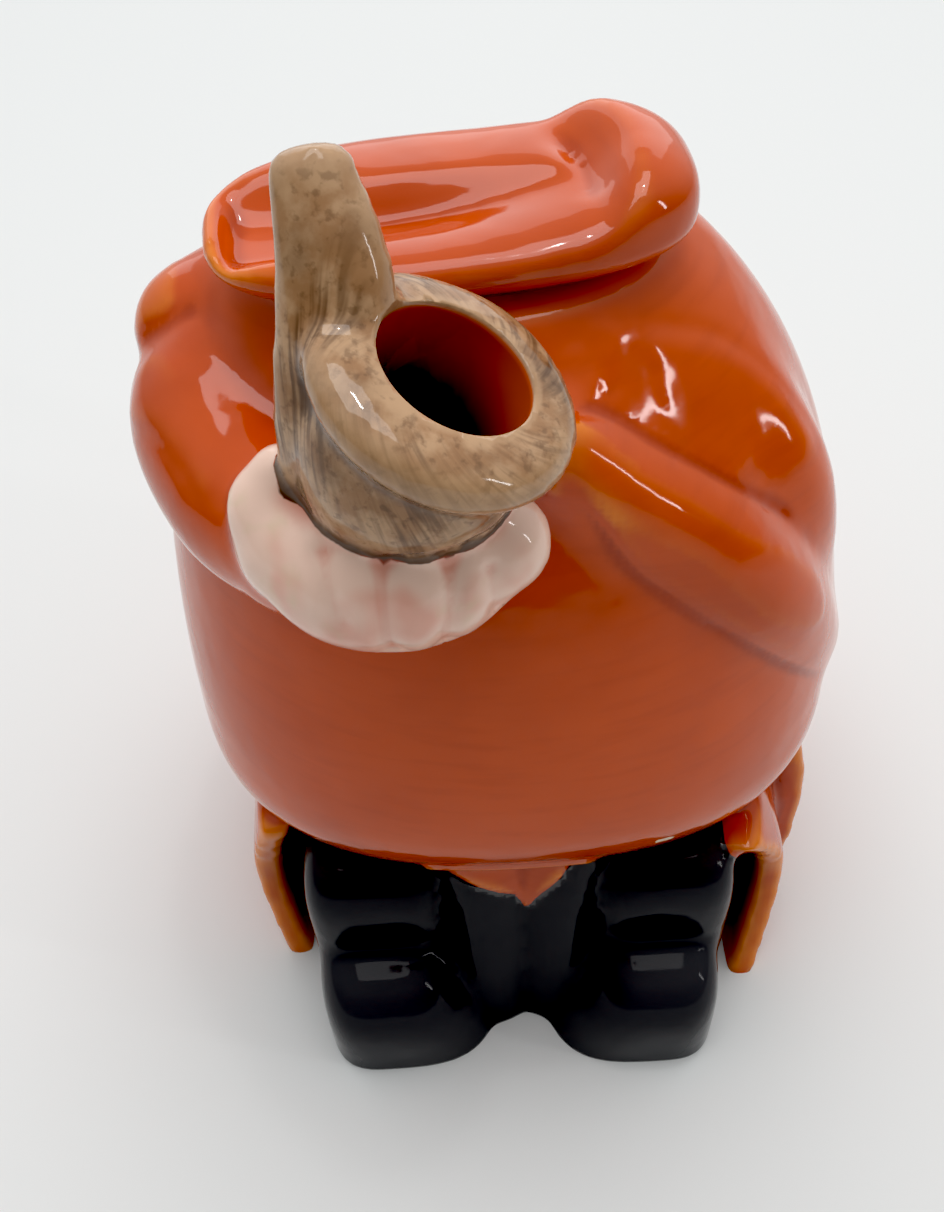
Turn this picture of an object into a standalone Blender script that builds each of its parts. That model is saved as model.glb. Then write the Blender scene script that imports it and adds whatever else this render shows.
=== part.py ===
"""Novelty teapot: a stout figure in a long coat, whose pipe is the spout and whose hat is the lid.

Lengths are in metres, the front of the figure faces -Y and the floor is at z = 0.
The body is one hollow casting and the hat is a loose lid that rests on its neck.
"""

import math

import bmesh
import bpy
from mathutils import Matrix, Vector

# The coat
SEAT_HEIGHT = 0.178
COAT_HALF_WIDTH = 0.0695
BELLY_DEPTH = 0.0685
BACK_DEPTH = 0.0620
WALL = 0.0045
BASE_THICKNESS = 0.0060

# The neck and the lid
NECK_HALF_LENGTH = 0.0305
NECK_HALF_DEPTH = 0.0138
NECK_THICKNESS = 0.0060
HAT_HALF_LENGTH = 0.0393
HAT_HALF_DEPTH = 0.0198
HAT_RISE = 0.0115
HAT_WALL = 0.0040
BRIM_OVERHANG = 0.0030
HAT_TURN = math.radians(4.0)
FLANGE_HEIGHT = 0.0070
FLANGE_WALL = 0.0032
FLANGE_CLEARANCE = 0.0008
SEAT_GAP = 0.0003

# The pipe that pours
MOUTH_RADIUS = 0.0115
RIM_RADIUS = 0.0200
RIM_HEIGHT = 0.0080
BOWL_LENGTH = 0.0360
BOWL_RADIUS = 0.0168
PASSAGE_RADIUS = 0.0100
STEM_WIDTH = 0.0185
STEM_THICKNESS = 0.0125

# The handle, legs and coat flaps
HANDLE_WIDTH = 0.0150
HANDLE_REACH = 0.0400
SHOE_HEIGHT = 0.0300
FLAP_THICKNESS = 0.0075

# Where the forms of the figure lie, as shares of the coat: x of its half width, y of the belly's depth
# and z of the seat's height
WIDEST = 0.478
CROWN_RISE = 0.618
UNDER_DROP = 0.275
NECK_SHIFT = -0.105
NECK_PLACE = (-0.110, -0.145, 1.0)
MOUTH_PLACE = (-0.115, -0.810, 1.068)
BOWL_FOOT_PLACE = (-0.355, -0.760, 0.885)

# The arms, the hand, the way to the spout and the mouthpiece. Their radii are shares of the coat's half
# width, and the mouthpiece's of its own width.
LEFT_UPPER_SLEEVE = ((-0.44, 0.04, 0.890), (-0.64, 0.00, 0.905), (-0.75, -0.06, 0.900))
LEFT_UPPER_RADII = (0.158, 0.180, 0.173)
LEFT_FORE_SLEEVE = ((-0.60, -0.10, 0.870), (-0.70, -0.24, 0.855), (-0.62, -0.50, 0.840), (-0.49, -0.70, 0.848))
LEFT_FORE_RADII = (0.216, 0.237, 0.216, 0.180)
RIGHT_UPPER_SLEEVE = ((0.42, -0.16, 0.895), (0.67, -0.30, 0.745), (0.78, -0.26, 0.560))
RIGHT_UPPER_RADII = (0.165, 0.187, 0.165)
RIGHT_FORE_SLEEVE = ((0.80, -0.35, 0.510), (0.62, -0.54, 0.674), (0.36, -0.59, 0.800), (0.10, -0.60, 0.900))
RIGHT_FORE_RADII = (0.180, 0.184, 0.158, 0.122)
HAND = ((-0.470, -0.80, 0.887), (-0.36, -0.86, 0.877), (-0.20, -0.87, 0.877), (-0.05, -0.84, 0.889))
HAND_RADII = (0.151, 0.180, 0.176, 0.118)
THUMB = ((-0.480, -0.80, 0.880), (-0.520, -0.76, 0.915), (-0.500, -0.74, 0.945))
THUMB_RADII = (0.115, 0.115, 0.072)
PASSAGE = ((-0.330, -0.76, 0.920), (-0.28, -0.60, 0.870), (-0.22, -0.36, 0.810))
STEM = ((-0.430, -0.79, 0.955), (-0.385, -0.77, 1.030), (-0.335, -0.70, 1.110), (-0.360, -0.590, 1.184))
STEM_TAPER = (0.26, 0.38, 0.44, 0.32)

# The middle, half width and front of a knee, then of its shoe, whose inner side spreads to the floor
LEFT_LEG = (-0.490, 0.225, -0.905, -0.490, 0.215, -1.14)
RIGHT_LEG = (0.450, 0.225, -0.935, 0.430, 0.210, -1.17)
SHOE_SPREAD = 0.15
SEAM_PLACE = -0.010
TROUSER_MIDDLE = 0.12

# How far the forms run below the floor before the underside is cut flat
FLOOR_CUT = 0.020

ORANGE = (0.58, 0.085, 0.018, 1.0)
HAT_ORANGE = (0.60, 0.095, 0.022, 1.0)


def at(x, y, z):
    """A point given as shares of the coat's half width, the belly's depth and the seat's height."""
    return Vector((x * COAT_HALF_WIDTH, y * BELLY_DEPTH, z * SEAT_HEIGHT))


def path(places):
    return [at(*place) for place in places]


def radii(shares):
    return [share * COAT_HALF_WIDTH for share in shares]


def ease(low, high, value):
    """A smooth step from 0 at low to 1 at high."""
    share = min(1.0, max(0.0, (value - low) / (high - low)))
    return share * share * (3.0 - 2.0 * share)


def clear_scene():
    for thing in list(bpy.data.objects):
        bpy.data.objects.remove(thing, do_unlink=True)


def make_collection(name):
    collection = bpy.data.collections.new(name)
    bpy.context.scene.collection.children.link(collection)
    return collection


def make_material(name, colour, roughness):
    material = bpy.data.materials.new(name)
    material.use_nodes = True
    shader = material.node_tree.nodes["Principled BSDF"]
    shader.inputs["Base Color"].default_value = colour
    shader.inputs["Roughness"].default_value = roughness
    shader.inputs["Metallic"].default_value = 0.0
    return material


def finish(name, shape, helpers):
    """Turns a bmesh into a helper object: flat triangles, which Booleans need, with outward normals."""
    bmesh.ops.remove_doubles(shape, verts=shape.verts, dist=1e-6)
    bmesh.ops.triangulate(shape, faces=shape.faces)
    bmesh.ops.recalc_face_normals(shape, faces=shape.faces)
    mesh = bpy.data.meshes.new(name)
    shape.to_mesh(mesh)
    shape.free()
    thing = bpy.data.objects.new(name, mesh)
    thing.hide_render = True
    thing.display_type = "WIRE"
    helpers.objects.link(thing)
    return thing


def ball(name, segments, rings, place, helpers):
    """A UV sphere whose points move to place(angle, fall), with fall from 0 at the top to 1 below."""
    shape = bmesh.new()
    bmesh.ops.create_uvsphere(shape, u_segments=segments, v_segments=rings, radius=1.0)
    for vert in shape.verts:
        fall = math.acos(max(-1.0, min(1.0, vert.co.z))) / math.pi
        vert.co = place(math.atan2(vert.co.y, vert.co.x), fall)
    return finish(name, shape, helpers)


def block(name, cuts, place, helpers):
    """A cube cut into a grid, whose points move to place(x, y, z), with x, y and z from -1 to 1."""
    shape = bmesh.new()
    bmesh.ops.create_cube(shape, size=2.0)
    bmesh.ops.subdivide_edges(shape, edges=shape.edges, cuts=cuts, use_grid_fill=True)
    for vert in shape.verts:
        vert.co = place(*vert.co)
    return finish(name, shape, helpers)


def rounded(x, y, z, squareness):
    """Pushes a point of a cube onto a rounded block, which is a ball at squareness 2."""
    size = (abs(x) ** squareness + abs(y) ** squareness + abs(z) ** squareness) ** (1.0 / squareness)
    return Vector((x / size, y / size, z / size))


def rounded_block(name, centre, half_size, squareness, cuts, helpers, floor=-FLOOR_CUT):
    """A block with soft edges, cut off flat at floor."""

    def place(x, y, z):
        point = rounded(x, y, z, squareness)
        point = centre + Vector((point.x * half_size[0], point.y * half_size[1], point.z * half_size[2]))
        point.z = max(point.z, floor)
        return point

    return block(name, cuts, place, helpers)


def curve_point(points, share):
    """A point on the smooth curve through a few points, with share from 0 to 1."""
    spans = len(points) - 1
    span = min(int(share * spans), spans - 1)
    t = share * spans - span
    a = points[max(span - 1, 0)]
    b = points[span]
    c = points[span + 1]
    d = points[min(span + 2, spans)]
    return 0.5 * (2 * b + (c - a) * t + (2 * a - 5 * b + 4 * c - d) * t * t + (3 * b - a - 3 * c + d) * t ** 3)


def limb(name, points, radii, size, helpers, inset=0.0, flatness=1.0, blunt=0.0, across=Vector((1, 0, 0))):
    """A limb along a smooth curve with a rounded or blunt end each way, flattened square to across."""
    radius_points = [Vector((radius, 0.0, 0.0)) for radius in radii]
    cap = 0.25

    def place(angle, fall):
        share = min(1.0, max(0.0, (fall - cap) / (1.0 - 2.0 * cap)))
        ahead = curve_point(points, min(share + 0.01, 1.0)) - curve_point(points, max(share - 0.01, 0.0))
        ahead.normalize()
        side = (across - ahead * across.dot(ahead)).normalized()
        front = ahead.cross(side)
        radius = curve_point(radius_points, share).x - inset
        past_end = max(0.0, cap - fall, fall - (1.0 - cap)) / cap * math.pi / 2.0
        slide = math.sin(past_end) * radius * (1.0 if fall > 0.5 else -1.0) * (1.0 - 0.45 * blunt)
        reach = max(0.0, math.cos(past_end)) ** (1.0 - 0.45 * blunt) * radius
        middle = curve_point(points, share) + ahead * slide
        return middle + (side * math.cos(angle) + front * math.sin(angle) * flatness) * reach

    return ball(name, *size, place, helpers)


def coat_ring(up, inset):
    """Centre, half width, front and back of the coat's egg at up, from -1 at its bottom to 1 at its top."""
    if up >= 0.0:
        width = math.sqrt(max(0.0, 1.0 - up * up))
        depth = max(0.0, 1.0 - up ** 1.6) ** 0.585
        back = max(0.0, 1.0 - up ** 1.3) ** 0.78
        height = WIDEST * SEAT_HEIGHT + up * (CROWN_RISE * SEAT_HEIGHT - inset)
        shift = NECK_SHIFT * COAT_HALF_WIDTH * up ** 2 * 1.4
    else:
        width = max(0.0, 1.0 - abs(up) ** 4.6) ** (1.0 / 4.6)
        depth = max(0.0, 1.0 - abs(up) ** 1.8) ** (1.0 / 1.9)
        back = width
        height = WIDEST * SEAT_HEIGHT + up * (UNDER_DROP * SEAT_HEIGHT - inset)
        shift = 0.0
    return (
        Vector((shift, 0.0, height)),
        width * (COAT_HALF_WIDTH - inset),
        depth * (BELLY_DEPTH - inset),
        back * (BACK_DEPTH - inset),
    )


def coat_egg(name, segments, rings, inset, top, helpers):
    """The coat's egg, drawn in by inset all round and cut off flat at top."""

    def place(angle, fall):
        up = math.cos(math.pi * fall)
        centre, half_width, front, back = coat_ring(up, inset)
        depth = front if math.sin(angle) < 0.0 else back
        fullness = 2.0 + 0.5 * ease(0.45, -0.30, up)
        x = math.copysign(abs(math.cos(angle)) ** (2.0 / fullness), math.cos(angle))
        y = math.copysign(abs(math.sin(angle)) ** (2.0 / fullness), math.sin(angle))
        point = centre + Vector((half_width * x, depth * y, 0.0))
        point.z = min(point.z, top)
        return point

    return ball(name, segments, rings, place, helpers)


def oval_prism(name, half_length, half_depth, bottom, top, segments, helpers):
    """An upright oval prism at the neck, turned with the hat."""
    shape = bmesh.new()
    bmesh.ops.create_cone(
        shape, cap_ends=True, segments=segments, radius1=1.0, radius2=1.0, depth=top - bottom
    )
    bmesh.ops.scale(shape, vec=(half_length, half_depth, 1.0), verts=shape.verts)
    bmesh.ops.rotate(shape, cent=(0, 0, 0), matrix=Matrix.Rotation(HAT_TURN, 3, "Z"), verts=shape.verts)
    neck = at(*NECK_PLACE)
    bmesh.ops.translate(shape, vec=(neck.x, neck.y, (top + bottom) / 2), verts=shape.verts)
    return finish(name, shape, helpers)


def skirt(name, inset, bottom, segments, helpers):
    """The lower part of the coat, an oval drum down to the floor."""
    top = 0.40 * SEAT_HEIGHT
    shape = bmesh.new()
    bmesh.ops.create_cone(
        shape, cap_ends=True, segments=segments, radius1=0.90, radius2=0.93, depth=top - bottom
    )
    half_depth = 0.5 * (0.93 * BACK_DEPTH + 0.62 * BELLY_DEPTH)
    scale = (COAT_HALF_WIDTH - inset / 0.92, half_depth / 0.92 - inset / 0.92, 1.0)
    bmesh.ops.scale(shape, vec=scale, verts=shape.verts)
    middle = 0.5 * (0.93 * BACK_DEPTH - 0.62 * BELLY_DEPTH)
    bmesh.ops.translate(shape, vec=(0.0, middle, (top + bottom) / 2), verts=shape.verts)
    return finish(name, shape, helpers)


def flap(name, front_edge, root_edge, helpers, cuts=3):
    """A coat flap: a curved slab from its front edge back to its root in the coat, with a round edge."""

    def place(x, y, z):
        fall = 0.5 - 0.5 * z
        back = 0.5 + 0.5 * y
        edge = curve_point(front_edge, fall)
        root = curve_point(root_edge, fall)
        bulge = math.sin(math.pi * fall) * (1.0 - back) * 0.15 * FLAP_THICKNESS
        thickness = FLAP_THICKNESS * (0.8 + 0.2 * min(1.0, back * 4.0) ** 0.5)
        point = edge.lerp(root, back)
        side = 1.0 if edge.x > 0 else -1.0
        return point + Vector((x * thickness / 2 + side * bulge, 0.0, 0.0))

    return block(name, cuts, place, helpers)


def pipe_axis():
    foot = at(*BOWL_FOOT_PLACE)
    mouth = at(*MOUTH_PLACE)
    axis = (mouth - foot).normalized()
    return mouth, axis


def turned(name, profile, steps, helpers):
    """A shape turned round the pipe bowl's axis. The profile is (radius, depth below the mouth)."""
    mouth, axis = pipe_axis()
    shape = bmesh.new()
    verts = [shape.verts.new((radius, 0.0, -depth)) for radius, depth in profile]
    for first, second in zip(verts, verts[1:]):
        shape.edges.new((first, second))
    mesh = bpy.data.meshes.new(name)
    shape.to_mesh(mesh)
    shape.free()
    thing = bpy.data.objects.new(name, mesh)
    screw = thing.modifiers.new("Turn", "SCREW")
    screw.steps = steps
    screw.render_steps = steps
    screw.use_merge_vertices = True
    screw.merge_threshold = 1e-5
    screw.use_smooth_shade = True
    thing.matrix_world = Matrix.Translation(mouth) @ axis.to_track_quat("Z", "X").to_matrix().to_4x4()
    thing.hide_render = True
    thing.display_type = "WIRE"
    helpers.objects.link(thing)
    return thing


def bowl_profile():
    """The pipe bowl's outer side from its closed mouth down: rim, groove and swelling bowl."""
    lip = RIM_RADIUS - MOUTH_RADIUS
    profile = [(0.0, 0.0), (MOUTH_RADIUS + 0.10 * lip, 0.0), (MOUTH_RADIUS + 0.45 * lip, 0.04 * RIM_HEIGHT)]
    for step in range(5):
        turn = math.pi * step / 5
        profile.append(
            (
                RIM_RADIUS - 0.22 * lip + 0.22 * lip * math.sin(turn + 0.3),
                RIM_HEIGHT * (0.55 - 0.42 * math.cos(turn + 0.2)),
            )
        )
    profile.append((RIM_RADIUS - 0.42 * lip, 1.04 * RIM_HEIGHT))
    below = BOWL_LENGTH - 1.04 * RIM_HEIGHT
    for step in range(1, 7):
        turn = step / 6.0
        radius = BOWL_RADIUS * math.sin(math.pi * (0.36 + 0.62 * turn)) ** 0.6
        profile.append((radius if step < 6 else 0.0, 1.04 * RIM_HEIGHT + below * turn))
    return profile


def bore_profile():
    """The spout's bore, from above the mouth down into the bowl."""
    top = -0.5 * RIM_HEIGHT
    return [
        (0.0, top),
        (MOUTH_RADIUS, top),
        (MOUTH_RADIUS, 0.20 * RIM_HEIGHT),
        (0.97 * MOUTH_RADIUS, RIM_HEIGHT),
        (0.97 * MOUTH_RADIUS, 0.66 * BOWL_LENGTH),
        (0.75 * MOUTH_RADIUS, 0.86 * BOWL_LENGTH),
        (0.0, 0.90 * BOWL_LENGTH),
    ]


def body_shapes(helpers, inset):
    """The forms that make the outside of the body, or its hollow where inset is the wall."""
    coarse = inset > 0.0
    tag = "hollow " if coarse else "outer "
    arm_size = (8, 8) if coarse else (14, 12)
    shapes = []
    bottom = BASE_THICKNESS if coarse else -FLOOR_CUT
    shapes.append(skirt(tag + "skirt", inset, bottom, 20 if coarse else 36, helpers))
    for name, places, shares in (
        ("left upper sleeve", LEFT_UPPER_SLEEVE, LEFT_UPPER_RADII),
        ("left fore sleeve", LEFT_FORE_SLEEVE, LEFT_FORE_RADII),
        ("right upper sleeve", RIGHT_UPPER_SLEEVE, RIGHT_UPPER_RADII),
        ("right fore sleeve", RIGHT_FORE_SLEEVE, RIGHT_FORE_RADII),
    ):
        shapes.append(limb(tag + name, path(places), radii(shares), arm_size, helpers, inset=inset))
    return shapes


def leg(side, inset, helpers):
    """A knee over a shoe, on the side whose x has this sign, or its hollow where inset is the wall."""
    knee_middle, knee_half, knee_front, shoe_middle, shoe_half, toe = LEFT_LEG if side < 0 else RIGHT_LEG
    cuts = 2 if inset else 4
    knee_low = 0.1 * SHOE_HEIGHT
    knee_high = 0.312 * SEAT_HEIGHT
    knee_back = -0.30
    knee = rounded_block(
        "knee",
        at(knee_middle, (knee_front + knee_back) / 2, 0.0) + Vector((0.0, 0.0, (knee_low + knee_high) / 2)),
        (
            knee_half * COAT_HALF_WIDTH - inset,
            (knee_back - knee_front) / 2 * BELLY_DEPTH - inset,
            (knee_high - knee_low) / 2 - inset,
        ),
        4.6,
        cuts,
        helpers,
    )
    sole = 0.15 * SHOE_HEIGHT
    half_width = shoe_half * COAT_HALF_WIDTH - inset
    half_depth = 0.42 * BELLY_DEPTH - inset
    middle = at(shoe_middle, toe + 0.42, 0.0)
    floor = BASE_THICKNESS if inset else -FLOOR_CUT
    half_height = SHOE_HEIGHT - sole - inset

    def place(x, y, z):
        flat = (abs(x) ** 3.4 + abs(y) ** 3.4) ** (1.0 / 3.4) or 1.0
        edge = max(abs(x), abs(y))
        size = (edge ** 4.2 + abs(z) ** 4.2) ** (1.0 / 4.2)
        x, y, z = x / flat * edge / size, y / flat * edge / size, z / size
        z = max(z, (floor - sole) / half_height)
        spread = SHOE_SPREAD * COAT_HALF_WIDTH * (1.0 - z) * (x * side < 0.0) * abs(x)
        return Vector(
            (
                middle.x + x * half_width - side * spread,
                middle.y + y * half_depth,
                sole + z * half_height,
            )
        )

    return [knee, block("shoe", cuts, place, helpers)]


def apron(inset, helpers):
    """The front between the knees under the belly: two trouser legs that meet in a seam."""
    floor = BASE_THICKNESS if inset else -FLOOR_CUT

    def place(x, y, z):
        point = rounded(x, y, z, 5.0)
        half_width = 0.52 * COAT_HALF_WIDTH - inset
        spot = abs(point.x * half_width / COAT_HALF_WIDTH - SEAM_PLACE)
        sunk = 0.045 * ((spot - TROUSER_MIDDLE) / TROUSER_MIDDLE) ** 2 if not inset else 0.045
        front = (-0.955 + 0.105 * point.z + min(sunk, 0.10)) * BELLY_DEPTH + inset
        back = -0.40 * BELLY_DEPTH
        height = 0.13 * SEAT_HEIGHT + point.z * (0.28 * SEAT_HEIGHT - inset)
        return Vector((point.x * half_width, (front + back) / 2 + point.y * (back - front) / 2, max(height, floor)))

    return block("apron", 2 if inset else 5, place, helpers)


def flaps(helpers):
    """The coat's flaps beside the legs: one on the left and two layers on the right."""
    left_edge = path(((-0.776, -0.66, 0.310), (-0.85, -0.60, 0.150), (-0.776, -0.74, -0.06)))
    left_root = path(((-0.82, -0.10, 0.350), (-0.84, -0.10, 0.150), (-0.82, -0.10, -0.06)))
    inner_edge = path(((0.675, -0.82, 0.310), (0.814, -0.72, 0.170), (0.715, -0.94, -0.06)))
    inner_root = path(((0.78, -0.20, 0.310), (0.82, -0.20, 0.170), (0.78, -0.20, -0.06)))
    outer_edge = path(((0.875, -0.42, 0.330), (0.93, -0.46, 0.180), (0.875, -0.52, -0.06)))
    outer_root = path(((0.84, 0.10, 0.350), (0.88, 0.10, 0.180), (0.84, 0.10, -0.06)))
    return [
        flap("left flap", left_edge, left_root, helpers),
        flap("right inner flap", inner_edge, inner_root, helpers),
        flap("right outer flap", outer_edge, outer_root, helpers),
    ]


def handle(helpers):
    """The loop at the back, a curve with a round section made into a mesh."""
    reach = BACK_DEPTH + HANDLE_REACH
    spots = [
        Vector((0.0, 0.60 * BACK_DEPTH, 0.745 * SEAT_HEIGHT)),
        Vector((0.0, 0.86 * reach, 0.735 * SEAT_HEIGHT)),
        Vector((0.0, reach, 0.600 * SEAT_HEIGHT)),
        Vector((0.0, 0.93 * reach, 0.420 * SEAT_HEIGHT)),
        Vector((0.0, 0.78 * BACK_DEPTH, 0.265 * SEAT_HEIGHT)),
    ]
    steps = 14
    curve = bpy.data.curves.new("handle curve", "CURVE")
    curve.dimensions = "3D"
    curve.bevel_depth = HANDLE_WIDTH / 2
    curve.bevel_resolution = 2
    curve.use_fill_caps = True
    spline = curve.splines.new("POLY")
    spline.points.add(steps)
    for step, point in enumerate(spline.points):
        point.co = (*curve_point(spots, step / steps), 1.0)
    guide = bpy.data.objects.new("handle guide", curve)
    helpers.objects.link(guide)
    graph = bpy.context.evaluated_depsgraph_get()
    mesh = bpy.data.meshes.new_from_object(guide.evaluated_get(graph))
    shape = bmesh.new()
    shape.from_mesh(mesh)
    bmesh.ops.transform(shape, matrix=guide.matrix_world, verts=shape.verts)
    bpy.data.objects.remove(guide)
    bpy.data.meshes.remove(mesh)
    return finish("handle", shape, helpers)


def hat_top(along, across):
    """Height of the hat's top above its seat. Along and across run from -1 to 1 over its plan."""
    turn_up = 0.60 - 0.16 * max(0.0, across) ** 1.5 - 0.05 * min(0.0, across) ** 2
    rise = 0.98 + 0.06 * across + 0.22 * ease(0.10, 0.90, along)
    rise += 0.46 * ease(turn_up - 0.05, turn_up + 0.16, along)
    pit = 1.0 - ease(-0.62, -0.30, along)
    depth = (0.62 * pit + (1.0 - pit) * (0.44 - 0.30 * ease(-0.30, 0.55, along))) * ease(-0.97, -0.86, along)
    depth *= 1.0 - ease(0.48, 0.66, along)
    behind = 0.20 + 0.32 * pit
    before = 0.46 - 0.02 * pit
    gap = across + 0.12
    if gap > 0.0:
        valley = depth * math.exp(-((gap / behind) ** (2.0 + 2.0 * pit)))
    else:
        valley = depth * math.exp(-((-gap / before) ** (1.5 + 2.5 * pit)))
    pocket = 0.20 * math.exp(-(((along - turn_up + 0.05) / 0.075) ** 2))
    pocket *= math.exp(-(((across - 0.05) / 0.50) ** 4))
    return HAT_RISE * (rise - max(valley, pocket))


def hat(helpers):
    """The hat's outside: a flat-bottomed boat with rolled edges and a valley along its top."""
    middle = 0.42 * HAT_RISE
    neck = at(*NECK_PLACE)
    spin = Matrix.Rotation(HAT_TURN, 3, "Z")

    def place(x, y, z):
        point = rounded(x, y, z, 2.0)
        plan = math.hypot(point.x, point.y)
        corner = (abs(point.x) ** 2.7 + abs(point.y) ** 2.7) ** (1.0 / 2.7) or 1.0
        if point.z >= 0.0:
            reach = plan ** 0.72 * plan / corner
        else:
            reach = plan ** 0.5 * plan / corner
        along = point.x / plan * reach if plan > 1e-6 else 0.0
        across = point.y / plan * reach if plan > 1e-6 else 0.0
        if point.z >= 0.0:
            height = middle + (hat_top(along, across) - middle) * point.z ** 0.55
            spare = 0.0
        else:
            height = middle * (1.0 - min(1.0, 1.25 * abs(point.z) ** 0.8))
            spare = BRIM_OVERHANG * (1.0 - height / middle)
        place_x = along * (HAT_HALF_LENGTH - spare)
        place_y = across * (HAT_HALF_DEPTH - spare)
        flat = spin @ Vector((place_x, place_y, 0.0))
        return flat + Vector((neck.x, neck.y, SEAT_HEIGHT + SEAT_GAP + height))

    return block("hat", 8, place, helpers)


def lid_hollow(helpers):
    """The space under the hat, as wide as the flange's bore, with a ceiling one wall under the top."""
    half_length = NECK_HALF_LENGTH - FLANGE_CLEARANCE - FLANGE_WALL
    half_depth = NECK_HALF_DEPTH - FLANGE_CLEARANCE - FLANGE_WALL
    neck = at(*NECK_PLACE)
    spin = Matrix.Rotation(HAT_TURN, 3, "Z")

    def place(x, y, z):
        corner = max(abs(x), abs(y)) / (math.hypot(x, y) or 1.0)
        across = Vector((x * corner * half_length, y * corner * half_depth, 0.0))
        top = hat_top(across.x / HAT_HALF_LENGTH, across.y / HAT_HALF_DEPTH) - HAT_WALL + SEAT_GAP
        height = -2.0 * FLANGE_HEIGHT + (top + 2.0 * FLANGE_HEIGHT) * (z + 1.0) / 2.0
        return spin @ across + Vector((neck.x, neck.y, SEAT_HEIGHT + height))

    return block("lid hollow", 4, place, helpers)


def box(name, low, high, helpers):
    shape = bmesh.new()
    bmesh.ops.create_cube(shape, size=1.0)
    bmesh.ops.scale(shape, vec=Vector(high) - Vector(low), verts=shape.verts)
    bmesh.ops.translate(shape, vec=(Vector(high) + Vector(low)) / 2, verts=shape.verts)
    return finish(name, shape, helpers)


def boolean(thing, other, operation):
    modifier = thing.modifiers.new(other.name, "BOOLEAN")
    modifier.operation = operation
    modifier.solver = "EXACT"
    modifier.object = other


def as_part(thing, name, parts, helpers, material):
    """Moves a helper into the parts collection as a named node."""
    helpers.objects.unlink(thing)
    parts.objects.link(thing)
    thing.name = name
    thing.data.name = name
    thing.hide_render = False
    thing.display_type = "TEXTURED"
    thing.data.materials.append(material)
    thing.data.shade_smooth()
    return thing


def build_body(parts, helpers):
    body = coat_egg("coat", 40, 26, 0.0, 10.0, helpers)
    outer = body_shapes(helpers, 0.0)
    outer.append(limb("hand", path(HAND), radii(HAND_RADII), (14, 16), helpers, across=Vector((0, 0, 1))))
    outer.append(limb("thumb", path(THUMB), radii(THUMB_RADII), (10, 8), helpers))
    outer.append(turned("pipe bowl", bowl_profile(), 24, helpers))
    stem_radii = [share * STEM_WIDTH for share in STEM_TAPER]
    flatness = STEM_THICKNESS / STEM_WIDTH
    outer.append(limb("stem", path(STEM), stem_radii, (14, 16), helpers, flatness=flatness, blunt=1.0))
    outer.append(apron(0.0, helpers))
    outer.extend(leg(-1, 0.0, helpers))
    outer.extend(leg(1, 0.0, helpers))
    outer.extend(flaps(helpers))
    outer.append(handle(helpers))
    for shape in outer:
        boolean(body, shape, "UNION")

    ledge = SEAT_HEIGHT - NECK_THICKNESS
    hollow = [coat_egg("hollow coat", 24, 14, WALL, ledge, helpers)]
    hollow.extend(body_shapes(helpers, WALL))
    hollow.append(apron(WALL, helpers))
    hollow.extend(leg(-1, WALL, helpers))
    hollow.extend(leg(1, WALL, helpers))
    hollow.append(turned("bore", bore_profile(), 20, helpers))
    hollow.append(limb("passage", path(PASSAGE), [PASSAGE_RADIUS] * 3, (10, 8), helpers))
    hollow.append(
        oval_prism("neck", NECK_HALF_LENGTH, NECK_HALF_DEPTH, ledge - WALL, SEAT_HEIGHT + WALL, 36, helpers)
    )
    for shape in hollow:
        boolean(body, shape, "DIFFERENCE")
    span = 3.0 * COAT_HALF_WIDTH
    floor = box("below the floor", (-span, -span, -span), (span, span, 0.0), helpers)
    boolean(body, floor, "DIFFERENCE")
    neck = at(*NECK_PLACE)
    above = box(
        "above the seat",
        (neck.x - 0.80 * COAT_HALF_WIDTH, neck.y - 0.42 * BELLY_DEPTH, SEAT_HEIGHT),
        (neck.x + 0.80 * COAT_HALF_WIDTH, BACK_DEPTH, 2.0 * SEAT_HEIGHT),
        helpers,
    )
    boolean(body, above, "DIFFERENCE")
    return as_part(body, "teapot_body", parts, helpers, make_material("orange glaze", ORANGE, 0.12))


def build_lid(parts, helpers):
    lid = hat(helpers)
    flange = oval_prism(
        "flange",
        NECK_HALF_LENGTH - FLANGE_CLEARANCE,
        NECK_HALF_DEPTH - FLANGE_CLEARANCE,
        SEAT_HEIGHT - FLANGE_HEIGHT,
        SEAT_HEIGHT + 0.3 * HAT_RISE,
        36,
        helpers,
    )
    boolean(lid, flange, "UNION")
    boolean(lid, lid_hollow(helpers), "DIFFERENCE")
    return as_part(lid, "lid", parts, helpers, make_material("orange hat glaze", HAT_ORANGE, 0.12))


def main():
    clear_scene()
    parts = make_collection("Novelty teapot")
    helpers = make_collection("Shapes joined and cut away")
    build_body(parts, helpers)
    build_lid(parts, helpers)


if __name__ == "__main__":
    main()
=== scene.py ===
"""Novelty teapot: the glazed body and its hat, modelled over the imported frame.

Lengths are in metres, the front of the figure faces -Y and the floor is at z = 0.
"""

import math

import bmesh
import bpy
import numpy as np
from bpy.props import FloatProperty, FloatVectorProperty, PointerProperty
from mathutils import Matrix, Vector
from mathutils.bvhtree import BVHTree


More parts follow.
